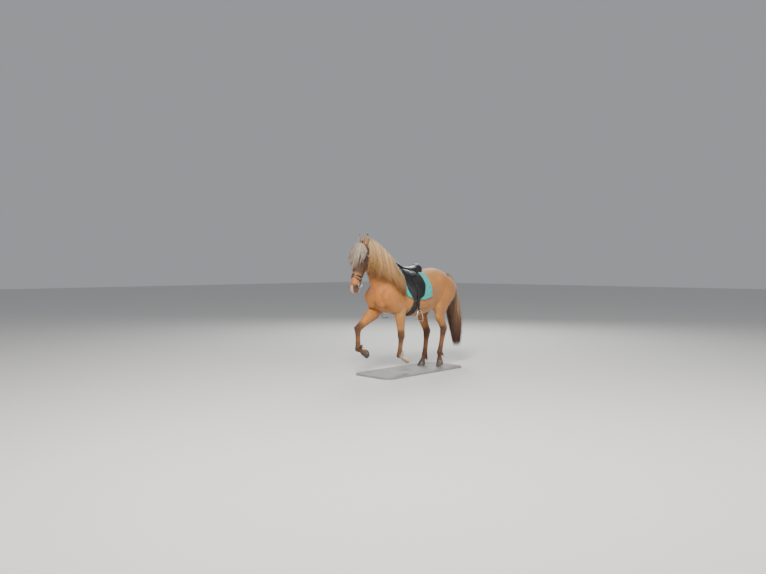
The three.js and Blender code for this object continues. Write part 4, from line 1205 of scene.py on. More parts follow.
def make_coat_tufts():
    """Short tufts that break the outline of the coat, longest under the jaw and the belly."""
    draw = np.random.default_rng(99)
    skin = SKIN["piece"]
    points, normals = points_of(skin), normals_of(skin)
    count = 13800
    picked = draw.integers(0, len(points), count * 12)
    p, n = points[picked], normals[picked]
    q = p.copy()
    q[:, 2] -= GROUND
    q /= MM
    muzzle = np.linalg.norm(q - in_head(560, 0, 0), axis=1)
    sides = [np.linalg.norm(q - in_head(EYE_ALONG, left, EYE_OUT), axis=1) for left in (92, -92)]
    eyes = np.minimum(*sides)
    ok = (muzzle > 70) & (eyes > 40) & (q[:, 2] > 60)
    ok &= ~((np.abs(q[:, 0] - 120) < 262) & (q[:, 2] > 915))
    face = smooth_step(q[:, 0], 850, 930) * smooth_step(q[:, 2], 1050, 1100)
    under = smooth_step(n[:, 2], -0.2, -0.75)
    behind = smooth_step(n[:, 0], -0.45, -0.9) * smooth_step(q[:, 2], 1300, 1200)
    chest = smooth_step(n[:, 0], 0.5, 0.9) * smooth_step(q[:, 0], 500, 640)
    want = np.clip(under + (0.8 * behind + 0.5 * chest + 0.02) * (1 - face), 0, 1)
    ok &= draw.random(len(p)) < want
    p, n, q = p[ok][:count], n[ok][:count], q[ok][:count]
    head = smooth_step(q[:, 0], 850, 930) * smooth_step(q[:, 2], 1050, 1100)
    leg = smooth_step(q[:, 2], 700, 600)
    long = 0.017 - 0.009 * head - 0.006 * leg
    long += 0.012 * smooth_step(q[:, 2], 800, 740) * smooth_step(np.abs(q[:, 0]), 480, 300) * (1 - leg)
    long += 0.012 * head * smooth_step(n[:, 2], -0.1, -0.7)
    long += 0.012 * leg * smooth_step(n[:, 0], -0.3, -0.9)
    down = np.array([-0.45, 0, -1.0]) * np.ones_like(n)
    down[:, 2] -= 1.2 * leg
    flow = unit(down - n * np.sum(down * n, axis=1, keepdims=True))
    flow += draw.normal(0, 0.10, flow.shape)
    up = 0.05 + 0.07 * draw.random(len(p))
    long = long * draw.uniform(0.7, 1.3, len(p))
    root = p - n * 0.0015
    middle = p + flow * (long * 0.5)[:, None] + n * (long * up * 0.8)[:, None]
    end = p + flow * long[:, None] + n * (long * up)[:, None]
    paths = np.stack([root, middle, end], axis=1)
    across = np.cross(n, flow)
    tint = coat_and_painted_light(p) * (1.04 + draw.normal(0, 0.045, (len(p), 1)))
    tints = np.repeat(np.clip(tint, 0.003, 1)[:, None], 3, axis=1)
    widths = (0.0026 - 0.0008 * np.clip(head + leg, 0, 1)) * draw.uniform(0.7, 1.3, len(p))
    piece = hair_mesh("coat_tufts", paths, widths, 0.35, across, tints, 3, 0.05, 0.4)
    dress(piece, hair_finish("coat_hair", 0.6))


# Eyes, ears and hooves

LID_HALF = 27  # half the length of an eye's opening
LIDS = (("upper", 14.5, 3.6, 2), ("lower", -12.5, 2.8, -1.5))  # bulge, thickness and shift up of each lid
LASHES = 34


def make_eyes():
    s = Shader("dark_eye")
    s.finish(Base_Color=(0.022, 0.010, 0.006), Roughness=0.05, Coat_Weight=1.0, Coat_Roughness=0.02)
    lid = Shader("eyelid")
    grain = lid.noise(260, 3)
    skin_tone = lid.mix(grain, (0.020, 0.012, 0.010), (0.055, 0.033, 0.025))
    lid.finish(Base_Color=skin_tone, Roughness=0.5, Normal=lid.bump(grain, 0.3, 0.001))
    for word, side in (("left", 1), ("right", -1)):
        centre = in_head(EYE_ALONG, side * EYE_LEFT, EYE_OUT)
        vertices, faces = swelling(centre, (EYE_RADIUS - 1,) * 3, 0, 0, 24, 40)
        ball = new_piece("eyeball_" + word, lifted(vertices), faces)
        outward(ball)
        dress(ball, s.material, ["eye_" + word])
        # lids: rolled rims above and below that meet at the two corners of the eye
        for part, bulge, roll, shift in LIDS:
            rings = []
            steps, sides = 22, 10
            for i in range(steps + 1):
                u = i / steps
                along = -LID_HALF + 2 * LID_HALF * u
                high = bulge * math.sin(math.pi * u) ** 0.8 - 3 + 5 * (1 - u)
                ball_square = (EYE_RADIUS + 0.5) ** 2
                inner = math.sqrt(max(0.0, ball_square - min(along * along + high * high, ball_square)))
                depth = max(inner, 5.5 + 5 * math.sin(math.pi * u))
                thick = roll * (0.45 + 0.55 * math.sin(math.pi * u))
                for k in range(sides):
                    a = 2 * math.pi * k / sides
                    lift = math.cos(a) * thick
                    proud = math.sin(a) * thick * 0.9
                    left = side * (EYE_LEFT + depth - 0.8 + proud)
                    rings.append(in_head(EYE_ALONG + along, left, EYE_OUT + high + lift + shift))
            rim = new_piece(f"lid_{part}_{word}", lifted(np.array(rings)), grid_faces(steps + 1, sides))
            outward(rim)
            dress(rim, lid.material)
        # lashes of the upper lid
        draw = np.random.default_rng(3)
        guides = []
        for i in range(LASHES):
            u = 0.16 + 0.7 * i / (LASHES - 1)
            along = EYE_ALONG - LID_HALF + 2 * LID_HALF * u
            out = EYE_OUT + LIDS[0][1] * math.sin(math.pi * u) ** 0.8 + 1
            bend, proud = 9 * draw.random(), 27 + 4 * draw.random()
            guides.append(
                [
                    in_head(along, side * (EYE_LEFT + 17), out),
                    in_head(along + 2, side * (EYE_LEFT + 24), out - 1),
                    in_head(along + bend, side * (EYE_LEFT + proud), out + 3),
                ]
            )
        paths = lifted(np.array(guides))
        tints = np.full((len(paths), 3, 3), 0.02)
        widths, across = np.full(len(paths), 0.0008), np.tile((0, 0, 1.0), (len(paths), 1))
        lash = hair_mesh("lashes_" + word, paths, widths, 0.8, across, tints, 3)
        dress(lash, hair_finish("lash_" + word))


EAR_LONG = 146


def ear_half(t):
    """The ear's half-width before its tip narrows, at a share t of its length."""
    return 33 * (0.62 + 1.1 * t - 1.0 * t * t)


def make_ears():
    draw = np.random.default_rng(12)
    for word, side in (("left", 1), ("right", -1)):
        root = in_head(6, side * 50, 44)
        along = np.array([-0.16, side * 0.2, 1.0])
        along /= np.linalg.norm(along)
        facing = np.array([0.8, side * 0.6, 0.0]) - 0.05 * along
        facing /= np.linalg.norm(facing)
        across = np.cross(along, facing)
        across /= np.linalg.norm(across)
        levels, arc = 22, 20
        rings = []
        for level in range(levels + 1):
            t = level / levels
            wide = ear_half(t) * math.sqrt(max(1e-4, 1 - 0.985 * t**3))
            wrap = lerp(215, 120, t)
            thin = max(1.1, 4.2 * (1 - 0.6 * t))
            outer, inner = [], []
            for i in range(arc + 1):
                a = math.radians(180 - wrap / 2 + wrap * i / arc)
                fold = 1 + 0.05 * math.cos(3 * a) * (1 - t)

                def place(r):
                    middle = root + along * (EAR_LONG * t - 6)
                    return middle + facing * math.cos(a) * r * 0.85 + across * math.sin(a) * r

                outer.append(place(wide * fold))
                inner.append(place(max(wide * fold - thin, wide * 0.5)))
            rings += outer + inner[::-1]
        sides = 2 * (arc + 1)
        piece = new_piece("ear_shell_" + word, lifted(np.array(rings)), grid_faces(levels + 1, sides))
        outward(piece)
        apply_modifier(piece, "SUBSURF", levels=1, render_levels=1)
        tints = np.tile(np.array((0.33, 0.155, 0.060)), (len(piece.data.vertices), 1))
        p = points_of(piece)
        hollow = (p - lifted(root)) @ facing
        high = (p - lifted(root)) @ along / 0.14
        tints = blend(tints, (0.42, 0.30, 0.20), smooth_step(hollow, -0.018, 0.006) * 0.6)
        tints = blend(tints, (0.05, 0.028, 0.018), smooth_step(high, 0.72, 1.0))
        paint(piece, "markings", tints)
        dress(piece, SKIN["piece"].data.materials[0], ["ear_" + word])
        guides = []
        for _ in range(150):
            t = draw.uniform(0.04, 0.72)
            wide = ear_half(t) - 6
            wrap = lerp(215, 120, t)
            edge = 1 if draw.random() < 0.5 else -1
            a = math.radians(180 + edge * wrap / 2 * draw.uniform(0.35, 0.98))
            start = root + along * EAR_LONG * t
            start = start + facing * math.cos(a) * wide * 0.85 + across * math.sin(a) * wide
            reach = draw.uniform(14, 30)
            guides.append(
                [
                    start,
                    start + along * reach * 0.4 + facing * reach * 0.35 - across * math.sin(a) * reach * 0.25,
                    start + along * reach * 0.8 + facing * reach * 0.6 - across * math.sin(a) * reach * 0.5,
                ]
            )
        paths = lifted(np.array(guides))
        tints = tints_along(len(paths), 3, [(0, (0.46, 0.34, 0.22)), (1, (0.58, 0.46, 0.32))], draw, 0.15)
        widths, across = np.full(len(paths), 0.0022), np.tile(across, (len(paths), 1))
        tuft = hair_mesh("ear_hair_" + word, paths, widths, 0.5, across, tints, 3)
        dress(tuft, hair_finish("ear_hair_" + word))


# x and height of the hoof's front and of its heel, and its half-width, from the ground up
HOOF = [
    (-4, 0, -112, 0, 54),
    (-1, 5, -115, 4, 56),
    (-12, 19, -117, 12, 54),
    (-22, 32, -119, 20, 52),
    (-34, 50, -121, 27, 48),
    (-46, 66, -122, 33, 44.5),
    (-50, 71, -120, 36, 40),
    (-54, 73, -116, 38, 35),
]
SOLE = ((0.86, 0.0), (0.80, 5.0), (0.5, 7.0))  # share of the rim's width, and depth above the ground


def make_hooves():
    for name in LEGS:
        y, toe, lean = foot_frame(name)
        pale = name == PALE_FOOT
        broad = 1.0 if name.startswith("fore") else 0.94
        flat = curve_rows(HOOF, 4)
        sides = 56
        rings = []
        for ax, az, bx, bz, half in flat:
            for i in range(sides):
                angle = 2 * math.pi * i / sides
                c = math.cos(angle)
                t = (1 - c) / 2
                heel = 1 + 0.16 * c if c < 0 else 1
                cleft = 0.10 * math.exp(-(((angle - math.pi) / 0.16) ** 2))
                p = toe + turned((lerp(ax, bx, t * (1 - cleft)), lerp(az, bz, t)), lean)
                rings.append((p[0], y + math.sin(angle) * half * broad * heel, p[1]))
        # the top is closed under the coat, and the sole is hollowed in three steps
        faces = grid_faces(len(flat), sides, caps=False)
        faces.append(tuple(range((len(flat) - 1) * sides, len(flat) * sides)))
        count = len(rings)
        inner = []
        for share, depth in SOLE:
            for i in range(sides):
                angle = 2 * math.pi * i / sides
                t = (1 - math.cos(angle) * share) / 2
                p = toe + turned((lerp(HOOF[0][0], HOOF[0][2], t), depth), lean)
                inner.append((p[0], y + math.sin(angle) * HOOF[0][4] * broad * share, p[1]))
        rings += inner
        order = [0, *[count + k * sides for k in range(len(SOLE))]]
        for first, second in zip(order, order[1:]):
            for i in range(sides):
                j = (i + 1) % sides
                faces.append((first + j, first + i, second + i, second + j))
        faces.append(tuple(reversed(range(order[-1], order[-1] + sides))))
        piece = new_piece("hoof_horn_" + name, lifted(np.array(rings)), faces)
        outward(piece)
        s = Shader("horn_" + name)
        grow = s.noise(1.0, 3.0, s.stretched((60, 60, 420)))
        grain = s.noise(1.0, 4.0, s.stretched((420, 420, 40)))
        tone = np.array(colours().pale_horn if pale else colours().horn)
        if name == "hind_left":
            tone = tone * 1.6
        mixed = s.mix(s.ranged(grow, 0.3, 0.7), tone * 0.72, tone * 1.3)
        mixed = s.mix(s.ranged(grain, 0.45, 0.75, 0, 0.5), mixed, tone * (1.5, 1.35, 1.2))
        dust = s.ranged(s.noise(26, 4), 0.45, 0.7, 0, 0.4)
        mixed = s.mix(dust, mixed, (0.30, 0.24, 0.19))
        s.finish(
            Base_Color=mixed,
            Roughness=s.ranged(grain, 0.3, 0.7, 0.42, 0.6),
            Normal=s.bump(grow + grain * 0.4, 0.35, 0.002),
        )
        dress(piece, s.material, ["hoof_" + name])


# Saddlery, laid out on the barrel by place along the horse and angle round an axis at AXIS_HIGH

AXIS_HIGH = 1040
WRAP_STEP, WRAP_TURN = 7.0, 2.5
WRAP_X = np.arange(-150, 396, WRAP_STEP)
WRAP_A = np.radians(np.arange(-180, 181, WRAP_TURN))
# lower edges of the pad and of a flap, and the seat: x and height, with the seat's half-width
PAD_LOW = [(-124, 1120), (-108, 962), (40, 930), (215, 936), (320, 985), (362, 1130)]
FLAP_LOW = [(-12, 1290), (0, 1120), (66, 980), (150, 936), (236, 940), (292, 1040), (326, 1180)]
SEAT_ROWS = [
    (-120, 1352, 78),
    (-116, 1372, 96),
    (-106, 1393, 112),
    (-78, 1388, 118),
    (-20, 1366, 110),
    (60, 1356, 94),
    (150, 1362, 84),
    (230, 1386, 78),
    (290, 1414, 72),
    (312, 1418, 66),
    (322, 1402, 54),
]
GIRTH_X, GIRTH_WIDE = 178, 86
LEATHER_X, LEATHER_WIDE = 168, 33
WRAP = {}


def blurred(grid, rounds):
    for _ in range(rounds):
        grid = (np.roll(grid, 1, 1) + np.roll(grid, -1, 1) + 2 * grid) / 4
        wide = np.concatenate([grid[:1], grid, grid[-1:]])
        grid = (wide[:-2] + wide[2:] + 2 * grid) / 4
    return grid


def make_wrap():
    """How far the skin is from the axis, bridged over its hollows as cloth and leather would be."""
    far = np.zeros((len(WRAP_X), len(WRAP_A) - 1))
    for i, x in enumerate(WRAP_X):
        for k, a in enumerate(WRAP_A[:-1]):
            way = Vector((0, math.sin(a), math.cos(a)))
            axis = Vector((x * MM, 0, AXIS_HIGH * MM + GROUND))
            hit, _ = cast(axis + way * 0.6, -way, 0.6)
            far[i, k] = 200 if hit is None else (hit - np.array(axis)) @ np.array(way) / MM
    smooth = blurred(far, 5)
    far = np.maximum(far, blurred(np.maximum(far, smooth), 3))
    WRAP["far"] = np.concatenate([far, far[:, :1]], axis=1)


def far_at(x, a):
    """The bridged distance at places x and angles a, both arrays."""
    grid = WRAP["far"]
    i = np.clip((np.asarray(x, dtype=float) - WRAP_X[0]) / WRAP_STEP, 0, len(WRAP_X) - 1.001)
    k = np.clip((np.asarray(a, dtype=float) - WRAP_A[0]) / math.radians(WRAP_TURN), 0, len(WRAP_A) - 1.001)
    i0, k0 = i.astype(int), k.astype(int)
    u, v = i - i0, k - k0
    return (grid[i0, k0] * (1 - u) + grid[i0 + 1, k0] * u) * (1 - v) + (
        grid[i0, k0 + 1] * (1 - u) + grid[i0 + 1, k0 + 1] * u
    ) * v


def wrapped(x, a, off):
    """The place off millimetres outside the bridged skin."""
    r = far_at(x, a) + off
    return np.stack([np.broadcast_to(x, r.shape), r * np.sin(a), AXIS_HIGH + r * np.cos(a)], axis=-1)


def angle_at(x, high, off=10):
    """The angle at which the wrap comes down to a height."""
    a = np.radians(np.arange(0, 150, 1.0))
    z = AXIS_HIGH + (far_at(np.full(len(a), float(x)), a) + off) * np.cos(a)
    below = np.nonzero(z < high)[0]
    if len(below) == 0 or below[0] == 0:
        return a[-1] if len(below) == 0 else 0.0
    k = below[0]
    return a[k - 1] + (a[k] - a[k - 1]) * (z[k - 1] - high) / max(z[k - 1] - z[k], 1e-6)


def shell(name, front, back, rows, columns):
    """A closed piece between two sheets of rows by columns points."""
    faces = []
    count = rows * columns
    for i in range(rows - 1):
        for k in range(columns - 1):
            p = i * columns + k
            faces.append((p, p + 1, p + columns + 1, p + columns))
            faces.append((count + p, count + p + columns, count + p + columns + 1, count + p + 1))
    ring = [i * columns for i in range(rows)] + [(rows - 1) * columns + k for k in range(1, columns)]
    ring += [i * columns + columns - 1 for i in range(rows - 2, -1, -1)] + list(range(columns - 2, 0, -1))
    for p, q in zip(ring, ring[1:] + ring[:1]):
        faces.append((p, q, count + q, count + p))
    piece = new_piece(name, lifted(np.concatenate([front, back])), faces)
    outward(piece)
    return piece


def from_rim(count):
    """How many steps each of a row of points is from the nearer end."""
    return np.minimum(np.arange(count), count - 1 - np.arange(count))


def slab(name, xs, low_a, high_a, inner, outer, columns, relief=None):
    """A sheet on the wrap between two angles at each place along the horse, with rounded edges."""
    xs = np.asarray(xs, dtype=float)
    v = np.linspace(0, 1, columns)
    x, t = np.meshgrid(xs, v, indexing="ij")
    a = np.array(low_a)[:, None] * (1 - t) + np.array(high_a)[:, None] * t
    n = len(xs)
    rim = np.minimum(from_rim(n)[:, None], from_rim(columns)[None, :])
    soft = np.minimum(rim / 2.0, 1.0) ** 0.5
    inner = inner(x, a) if callable(inner) else np.full(x.shape, float(inner))
    outer = outer(x, a) if callable(outer) else np.full(x.shape, float(outer))
    middle = (inner + outer) / 2
    top = middle + (outer - middle) * (0.35 + 0.65 * soft)
    low = middle - (middle - inner) * (0.35 + 0.65 * soft)
    if relief is not None:
        top = top + relief(x, a) * soft
    front, back = wrapped(x, a, top).reshape(-1, 3), wrapped(x, a, low).reshape(-1, 3)
    return shell(name, front, back, n, columns)


def low_edge(table, x):
    return float(np.interp(x, [p[0] for p in table], [p[1] for p in table]))


def dense(low, high, count):
    """Places from low to high that crowd towards both ends."""
    u = np.linspace(0, 1, count)
    return low + (high - low) * (u - 0.09 * np.sin(2 * math.pi * u))


# a strap's section, as shares of half its width and half its thickness
STRAP_EDGE = [(-1, -0.5), (-0.94, 0.75), (-0.8, 1), (0.8, 1)]
STRAP_EDGE += [(0.94, 0.75), (1, -0.5), (0.85, -1), (-0.85, -1)]


def strap(points, width, normals, high, closed=False):
    """A strap along points: width wide, with its flat face towards normals, and high thick."""
    points, normals = np.asarray(points, dtype=float), np.asarray(normals, dtype=float)
    run = unit(np.gradient(points, axis=0))
    across = unit(np.cross(run, normals))
    out = np.cross(across, run)
    rings = [points + across * (u * width / 2) + out * (v * high / 2) for u, v in STRAP_EDGE]
    flat = np.stack(rings, axis=1).reshape(-1, 3)
    return flat, grid_faces(len(points), len(STRAP_EDGE), not closed, closed)


def tube(points, radius, sides=12, closed=False):
    points = np.asarray(points, dtype=float)
    run = np.gradient(points, axis=0)
    if closed:
        run = np.roll(points, -1, 0) - np.roll(points, 1, 0)
    run = unit(run)
    first = unit(np.cross(run, (0.31, 0.52, 0.79)))
    second = np.cross(run, first)
    radius = np.broadcast_to(np.asarray(radius, dtype=float), (len(points),))
    rings = []
    for i in range(sides):
        a = 2 * math.pi * i / sides
        rings.append(points + (first * math.cos(a) + second * math.sin(a)) * radius[:, None])
    return np.stack(rings, axis=1).reshape(-1, 3), grid_faces(len(points), sides, not closed, closed)


def built(name, bodies, material, replaced=()):
    vertices, faces = joined(bodies)
    piece = new_piece(name, lifted(vertices), faces)
    outward(piece)
    return dress(piece, material, replaced)


def stitching(name, points, normals, tint, spacing=6.5, long=4.2, thick=1.0):
    """Thread that comes up through the leather at even steps along a line."""
    points = np.asarray(points, dtype=float)
    step = np.linalg.norm(np.diff(points, axis=0), axis=1)
    run = np.concatenate([[0], np.cumsum(step)])
    at = np.arange(4, run[-1] - 4, spacing)
    p = np.stack([np.interp(at, run, points[:, i]) for i in range(3)], axis=1)
    n = np.stack([np.interp(at, run, np.asarray(normals)[:, i]) for i in range(3)], axis=1)
    q = np.stack([np.interp(at + long, run, points[:, i]) for i in range(3)], axis=1)
    paths = np.stack([p - n * 0.8, (p + q) / 2 + n * 0.7, q - n * 0.8], axis=1)
    paths = lifted(paths)
    across = np.cross((q - p), n)
    tints = np.tile(np.asarray(tint, dtype=float), (len(paths), 3, 1))
    piece = hair_mesh(name, paths, np.full(len(paths), thick * MM), 0.8, across, tints, 3, 0.6, 0.5)
    return dress(piece, hair_finish(name + "_thread", 0.6))


def leather_finish(name, tone, gloss=0.42):
    s = Shader(name)
    cells = {"Vector": s.place(), "Scale": 520.0}
    grain = s.node("ShaderNodeTexVoronoi", {"feature": "F1"}, cells, "Distance")
    worn = s.noise(16, 4)
    crease = s.noise(70, 5)
    tone = np.array(tone)
    mixed = s.mix(s.ranged(worn, 0.42, 0.72), tone, tone * 1.7 + 0.002)
    return s.finish(
        Base_Color=s.mix(s.ranged(crease, 0.35, 0.7), mixed, tone * 0.7),
        Roughness=s.ranged(worn, 0.3, 0.7, gloss - 0.08, gloss + 0.14),
        Normal=s.bump(grain * 0.5 + crease * 0.8, 0.28, 0.0012),
    )


def steel_finish(name):
    s = Shader(name)
    dull = s.noise(120, 4)
    tone = np.array(colours().steel)
    return s.finish(
        Base_Color=s.mix(s.ranged(dull, 0.35, 0.7), tone, tone * 0.72),
        Metallic=1.0,
        Roughness=s.ranged(dull, 0.3, 0.7, 0.2, 0.38),
        Normal=s.bump(dull, 0.1, 0.0006),
    )


def make_pad():
    make_wrap()
    few = 1
    xs = dense(-124, 362, 96 // few)
    edge = [angle_at(x, low_edge(PAD_LOW, x)) for x in xs]
    edge = evened(edge, 2)

    def quilt(x, a):
        s = (far_at(x, a) + 10) * a
        u, v = (x + s) / 62.0, (x - s) / 62.0
        line = np.minimum(np.abs(u - np.round(u)), np.abs(v - np.round(v)))
        return 3.2 * np.minimum(line / 0.2, 1) ** 0.7 - 2.4

    pad = slab("saddle_pad_cloth", xs, -edge, edge, 1.6, sizes().pad / MM + 1.6, 240 // few, quilt)
    s = Shader("quilted_cotton")
    weave = s.bands("DIAGONAL", 320.0)
    soft = s.noise(30, 4)
    dust = s.ranged(s.noise(9, 4), 0.5, 0.75, 0, 0.35)
    tone = np.array(colours().cloth)
    mixed = s.mix(s.ranged(soft, 0.3, 0.7), tone * 0.8, tone * 1.2 + 0.01)
    s.finish(
        Base_Color=s.mix(dust, mixed, tone * 0.75 + 0.06),
        Roughness=0.86,
        Sheen_Weight=0.3,
        Normal=s.bump(weave * 0.4 + soft, 0.25, 0.001),
    )
    dress(pad, s.material, ["saddle_pad"])
    # corded edge all the way round
    lines = []
    for side in (1, -1):
        lines.append(wrapped(xs, side * edge, 6.6)[:: 1 if side > 0 else -1])
    rim = np.concatenate(lines)
    bodies = [tube(spans(rim[None], 300)[0], 4.6, 10, True)]
    s = Shader("corded_edge")
    twist = s.noise(1.0, 2.0, s.stretched((300, 300, 300)))
    corded = s.mix(twist, tone * 0.45, tone * 0.75)
    s.finish(Base_Color=corded, Roughness=0.7, Normal=s.bump(twist, 0.5, 0.001))
    built("saddle_pad_edge", bodies, s.material)


def flap_off(x, a):
    """How far a flap's inner face stands off: more over the girth and along the knee roll."""
    a = np.abs(a)
    girth = np.exp(-(((x - GIRTH_X) / 66) ** 2)) * smooth_step(a, 0.9, 1.25)
    roll = np.exp(-(((x - 286 + 60 * (a - 1.0)) / 26) ** 2))
    roll = roll * smooth_step(a, 0.55, 0.7) * smooth_step(a, 1.45, 1.3)
    return 13.4 + 5 * girth + 5.5 * roll


def flap_face(x, a):
    return flap_off(x, a) + sizes().flap / MM


def skirt_back(x, a):
    return flap_face(x, a) + 3.5 + 3 * np.exp(-(((x - LEATHER_X) / 40) ** 2))


def skirt_face(x, a):
    return skirt_back(x, a) + 4.2


def off_axis(points):
    """The direction of each point away from the wrap's axis."""
    axis = np.stack([points[:, 0], np.zeros(len(points)), np.full(len(points), AXIS_HIGH)], axis=1)
    return unit(points - axis)


SEAT_OFF = 13


def seat_dome(u):
    return (1 - abs(u) ** 2.6) ** 0.62


def seat_lie(x, half):
    """The height that the seat rests at, and the angle that it reaches down to on each side."""
    rest = AXIS_HIGH + float(far_at(x, 0.0)) + SEAT_OFF
    return rest, math.atan2(half, rest - AXIS_HIGH)


def make_saddle():
    few = 1
    black = leather_finish("black_leather", colours().leather)
    thread = (0.16, 0.15, 0.14)
    xs = dense(-12, 326, 70 // few)
    for word, side in (("left", 1), ("right", -1)):
        edge = np.array([angle_at(x, low_edge(FLAP_LOW, x), 14) for x in xs])
        edge = evened(edge, 2)
        start = np.full(len(xs), 0.16)
        a, b = (start, edge) if side > 0 else (-edge, -start)
        flap = slab("saddle_flap_" + word, xs, a, b, flap_off, flap_face, 110 // few)
        dress(flap, black, ["saddle"] if side > 0 else ())
        inset = edge - 7.5 / 330
        path = wrapped(xs, side * inset, flap_face(xs, inset) + 0.2)
        keep = path[4 // few : len(path) - 4 // few]
        stitching("flap_stitches_" + word, keep, off_axis(keep), thread)
        # the small skirt over the stirrup's bar
        skirt_x = dense(52, 262, 40 // few)
        skirt_low = 0.62 + 0.13 * np.sin(math.pi * (skirt_x - 52) / 210)
        start = np.full(len(skirt_x), 0.14)
        a, b = (start, skirt_low) if side > 0 else (-skirt_low, -start)
        skirt = slab("saddle_skirt_" + word, skirt_x, a, b, skirt_back, skirt_face, 36 // few)
        dress(skirt, black)
        inset = skirt_low - 6 / 300
        path = wrapped(skirt_x, side * inset, skirt_face(skirt_x, inset) + 0.2)
        stitching("skirt_stitches_" + word, path, off_axis(path), thread)
    rows = curve_rows(SEAT_ROWS, 8 // few + 1)
    columns = 64 // few
    shares = [-1 + 2 * k / (columns - 1) for k in range(columns)]
    front, back = [], []
    for x, top, half in rows:
        rest, wide = seat_lie(x, half)
        lift = max(top - rest, 6)
        middle = smooth_step(np.array(x), -90, -40) * smooth_step(np.array(x), 260, 180)
        for u in shares:
            dip = -5 * math.exp(-((u / 0.35) ** 2)) * middle
            place = np.array(x), np.array(u * wide)
            front.append(wrapped(*place, SEAT_OFF + lift * seat_dome(u) + dip))
            back.append(wrapped(*place, SEAT_OFF - 0.6))
    seat = shell("saddle_seat", front, back, len(rows), columns)
    apply_modifier(seat, "SMOOTH", factor=0.5, iterations=4)
    shiny = leather_finish("seat_leather", np.array(colours().leather) * 1.15, 0.36)
    dress(seat, shiny)
    # welts where the seat meets the skirts, a roll round the cantle, and two rings at the pommel
    welts = []
    for side in (1, -1):
        line = []
        for x, top, half in rows:
            rest, wide = seat_lie(x, half)
            off = SEAT_OFF + max(top - rest, 6) * 0.62
            line.append(wrapped(np.array(x), np.array(side * 0.80 * wide), off))
        welts.append(tube(np.array(line), 2.6, 8))
    back = []
    for k in range(25):
        u = -1 + 2 * k / 24
        rest, wide = seat_lie(-112.0, 106)
        lift = (1385 - rest) * seat_dome(u)
        back.append(wrapped(np.array(-114 + 18 * u * u), np.array(u * wide), 14 + lift))
    welts.append(tube(np.array(back), 4.2, 10))
    built("saddle_welts", welts, black)
    rings = []
    for side in (1, -1):
        centre = wrapped(np.array(318.0), np.array(side * 0.27), 22)
        loop = []
        for i in range(24):
            a = 2 * math.pi * i / 24
            loop.append(centre + np.array([9 * math.cos(a), side * 4 * math.sin(a), 9 * math.sin(a) * 0.9]))
        rings.append(tube(np.array(loop), 1.7, 8, True))
    built("saddle_rings", rings, steel_finish("ring_steel"))


def make_girth():
    few = 1
    half = GIRTH_WIDE / 2
    xs = GIRTH_X + np.linspace(-half, half, 23)
    top = np.array([angle_at(x, 990, 16) for x in xs])

    def inner(x, a):
        return 2.0 + 10.8 * smooth_step(np.abs(a), angle_at(GIRTH_X, 850, 10), angle_at(GIRTH_X, 915, 10))

    def outer(x, a):
        return inner(x, a) + 7.5

    def ribs(x, a):
        return 0.9 * np.cos((x - GIRTH_X) * 2 * math.pi / 14)

    n, columns = len(xs), 150 // few
    pieces = []
    under = np.full(n, math.pi - 0.0005)
    for word, low, high in (("left", top, under), ("right", -under, -top)):
        pieces.append(slab("girth_" + word, xs, low, high, inner, outer, columns, ribs))
    s = Shader("dark_webbing")
    web = s.bands("X", 130.0)
    grime = s.noise(24, 4)
    tone = np.array(colours().web)
    s.finish(
        Base_Color=s.mix(s.ranged(grime, 0.4, 0.75), tone, tone * 2 + 0.012),
        Roughness=0.8,
        Normal=s.bump(web + grime * 0.5, 0.4, 0.0012),
    )
    dress(pieces[0], s.material, ["girth"])
    dress(pieces[1], s.material)


def leather_path(side, off):
    """The stirrup leather's line: over the flap to its widest, then straight down."""
    z = np.arange(1290, 776, -8.0)
    widest, line = 0.0, []
    for high in z:
        a = angle_at(LEATHER_X, high, 20) if high > 935 else None
        if a is not None:
            proud = float(flap_off(np.array(float(LEATHER_X)), np.array(a))) + off
            r = float(far_at(float(LEATHER_X), a)) + proud
            widest = max(widest, r * math.sin(a))
        line.append((LEATHER_X, side * widest, high))
    line = np.array(line, dtype=float)
    line[:, 1] = evened(line[:, 1], 3)
    return line


# the stirrup iron: its lowest height, its distance from the middle, and half of its outline from the top
IRON_LOW, IRON_OUT = 660.0, 304.0
IRON = [(-24, 138), (-10, 141), (10, 141), (24, 138), (36, 122)]
IRON += [(48, 92), (57, 58), (61, 30), (60, 10), (54, 7)]


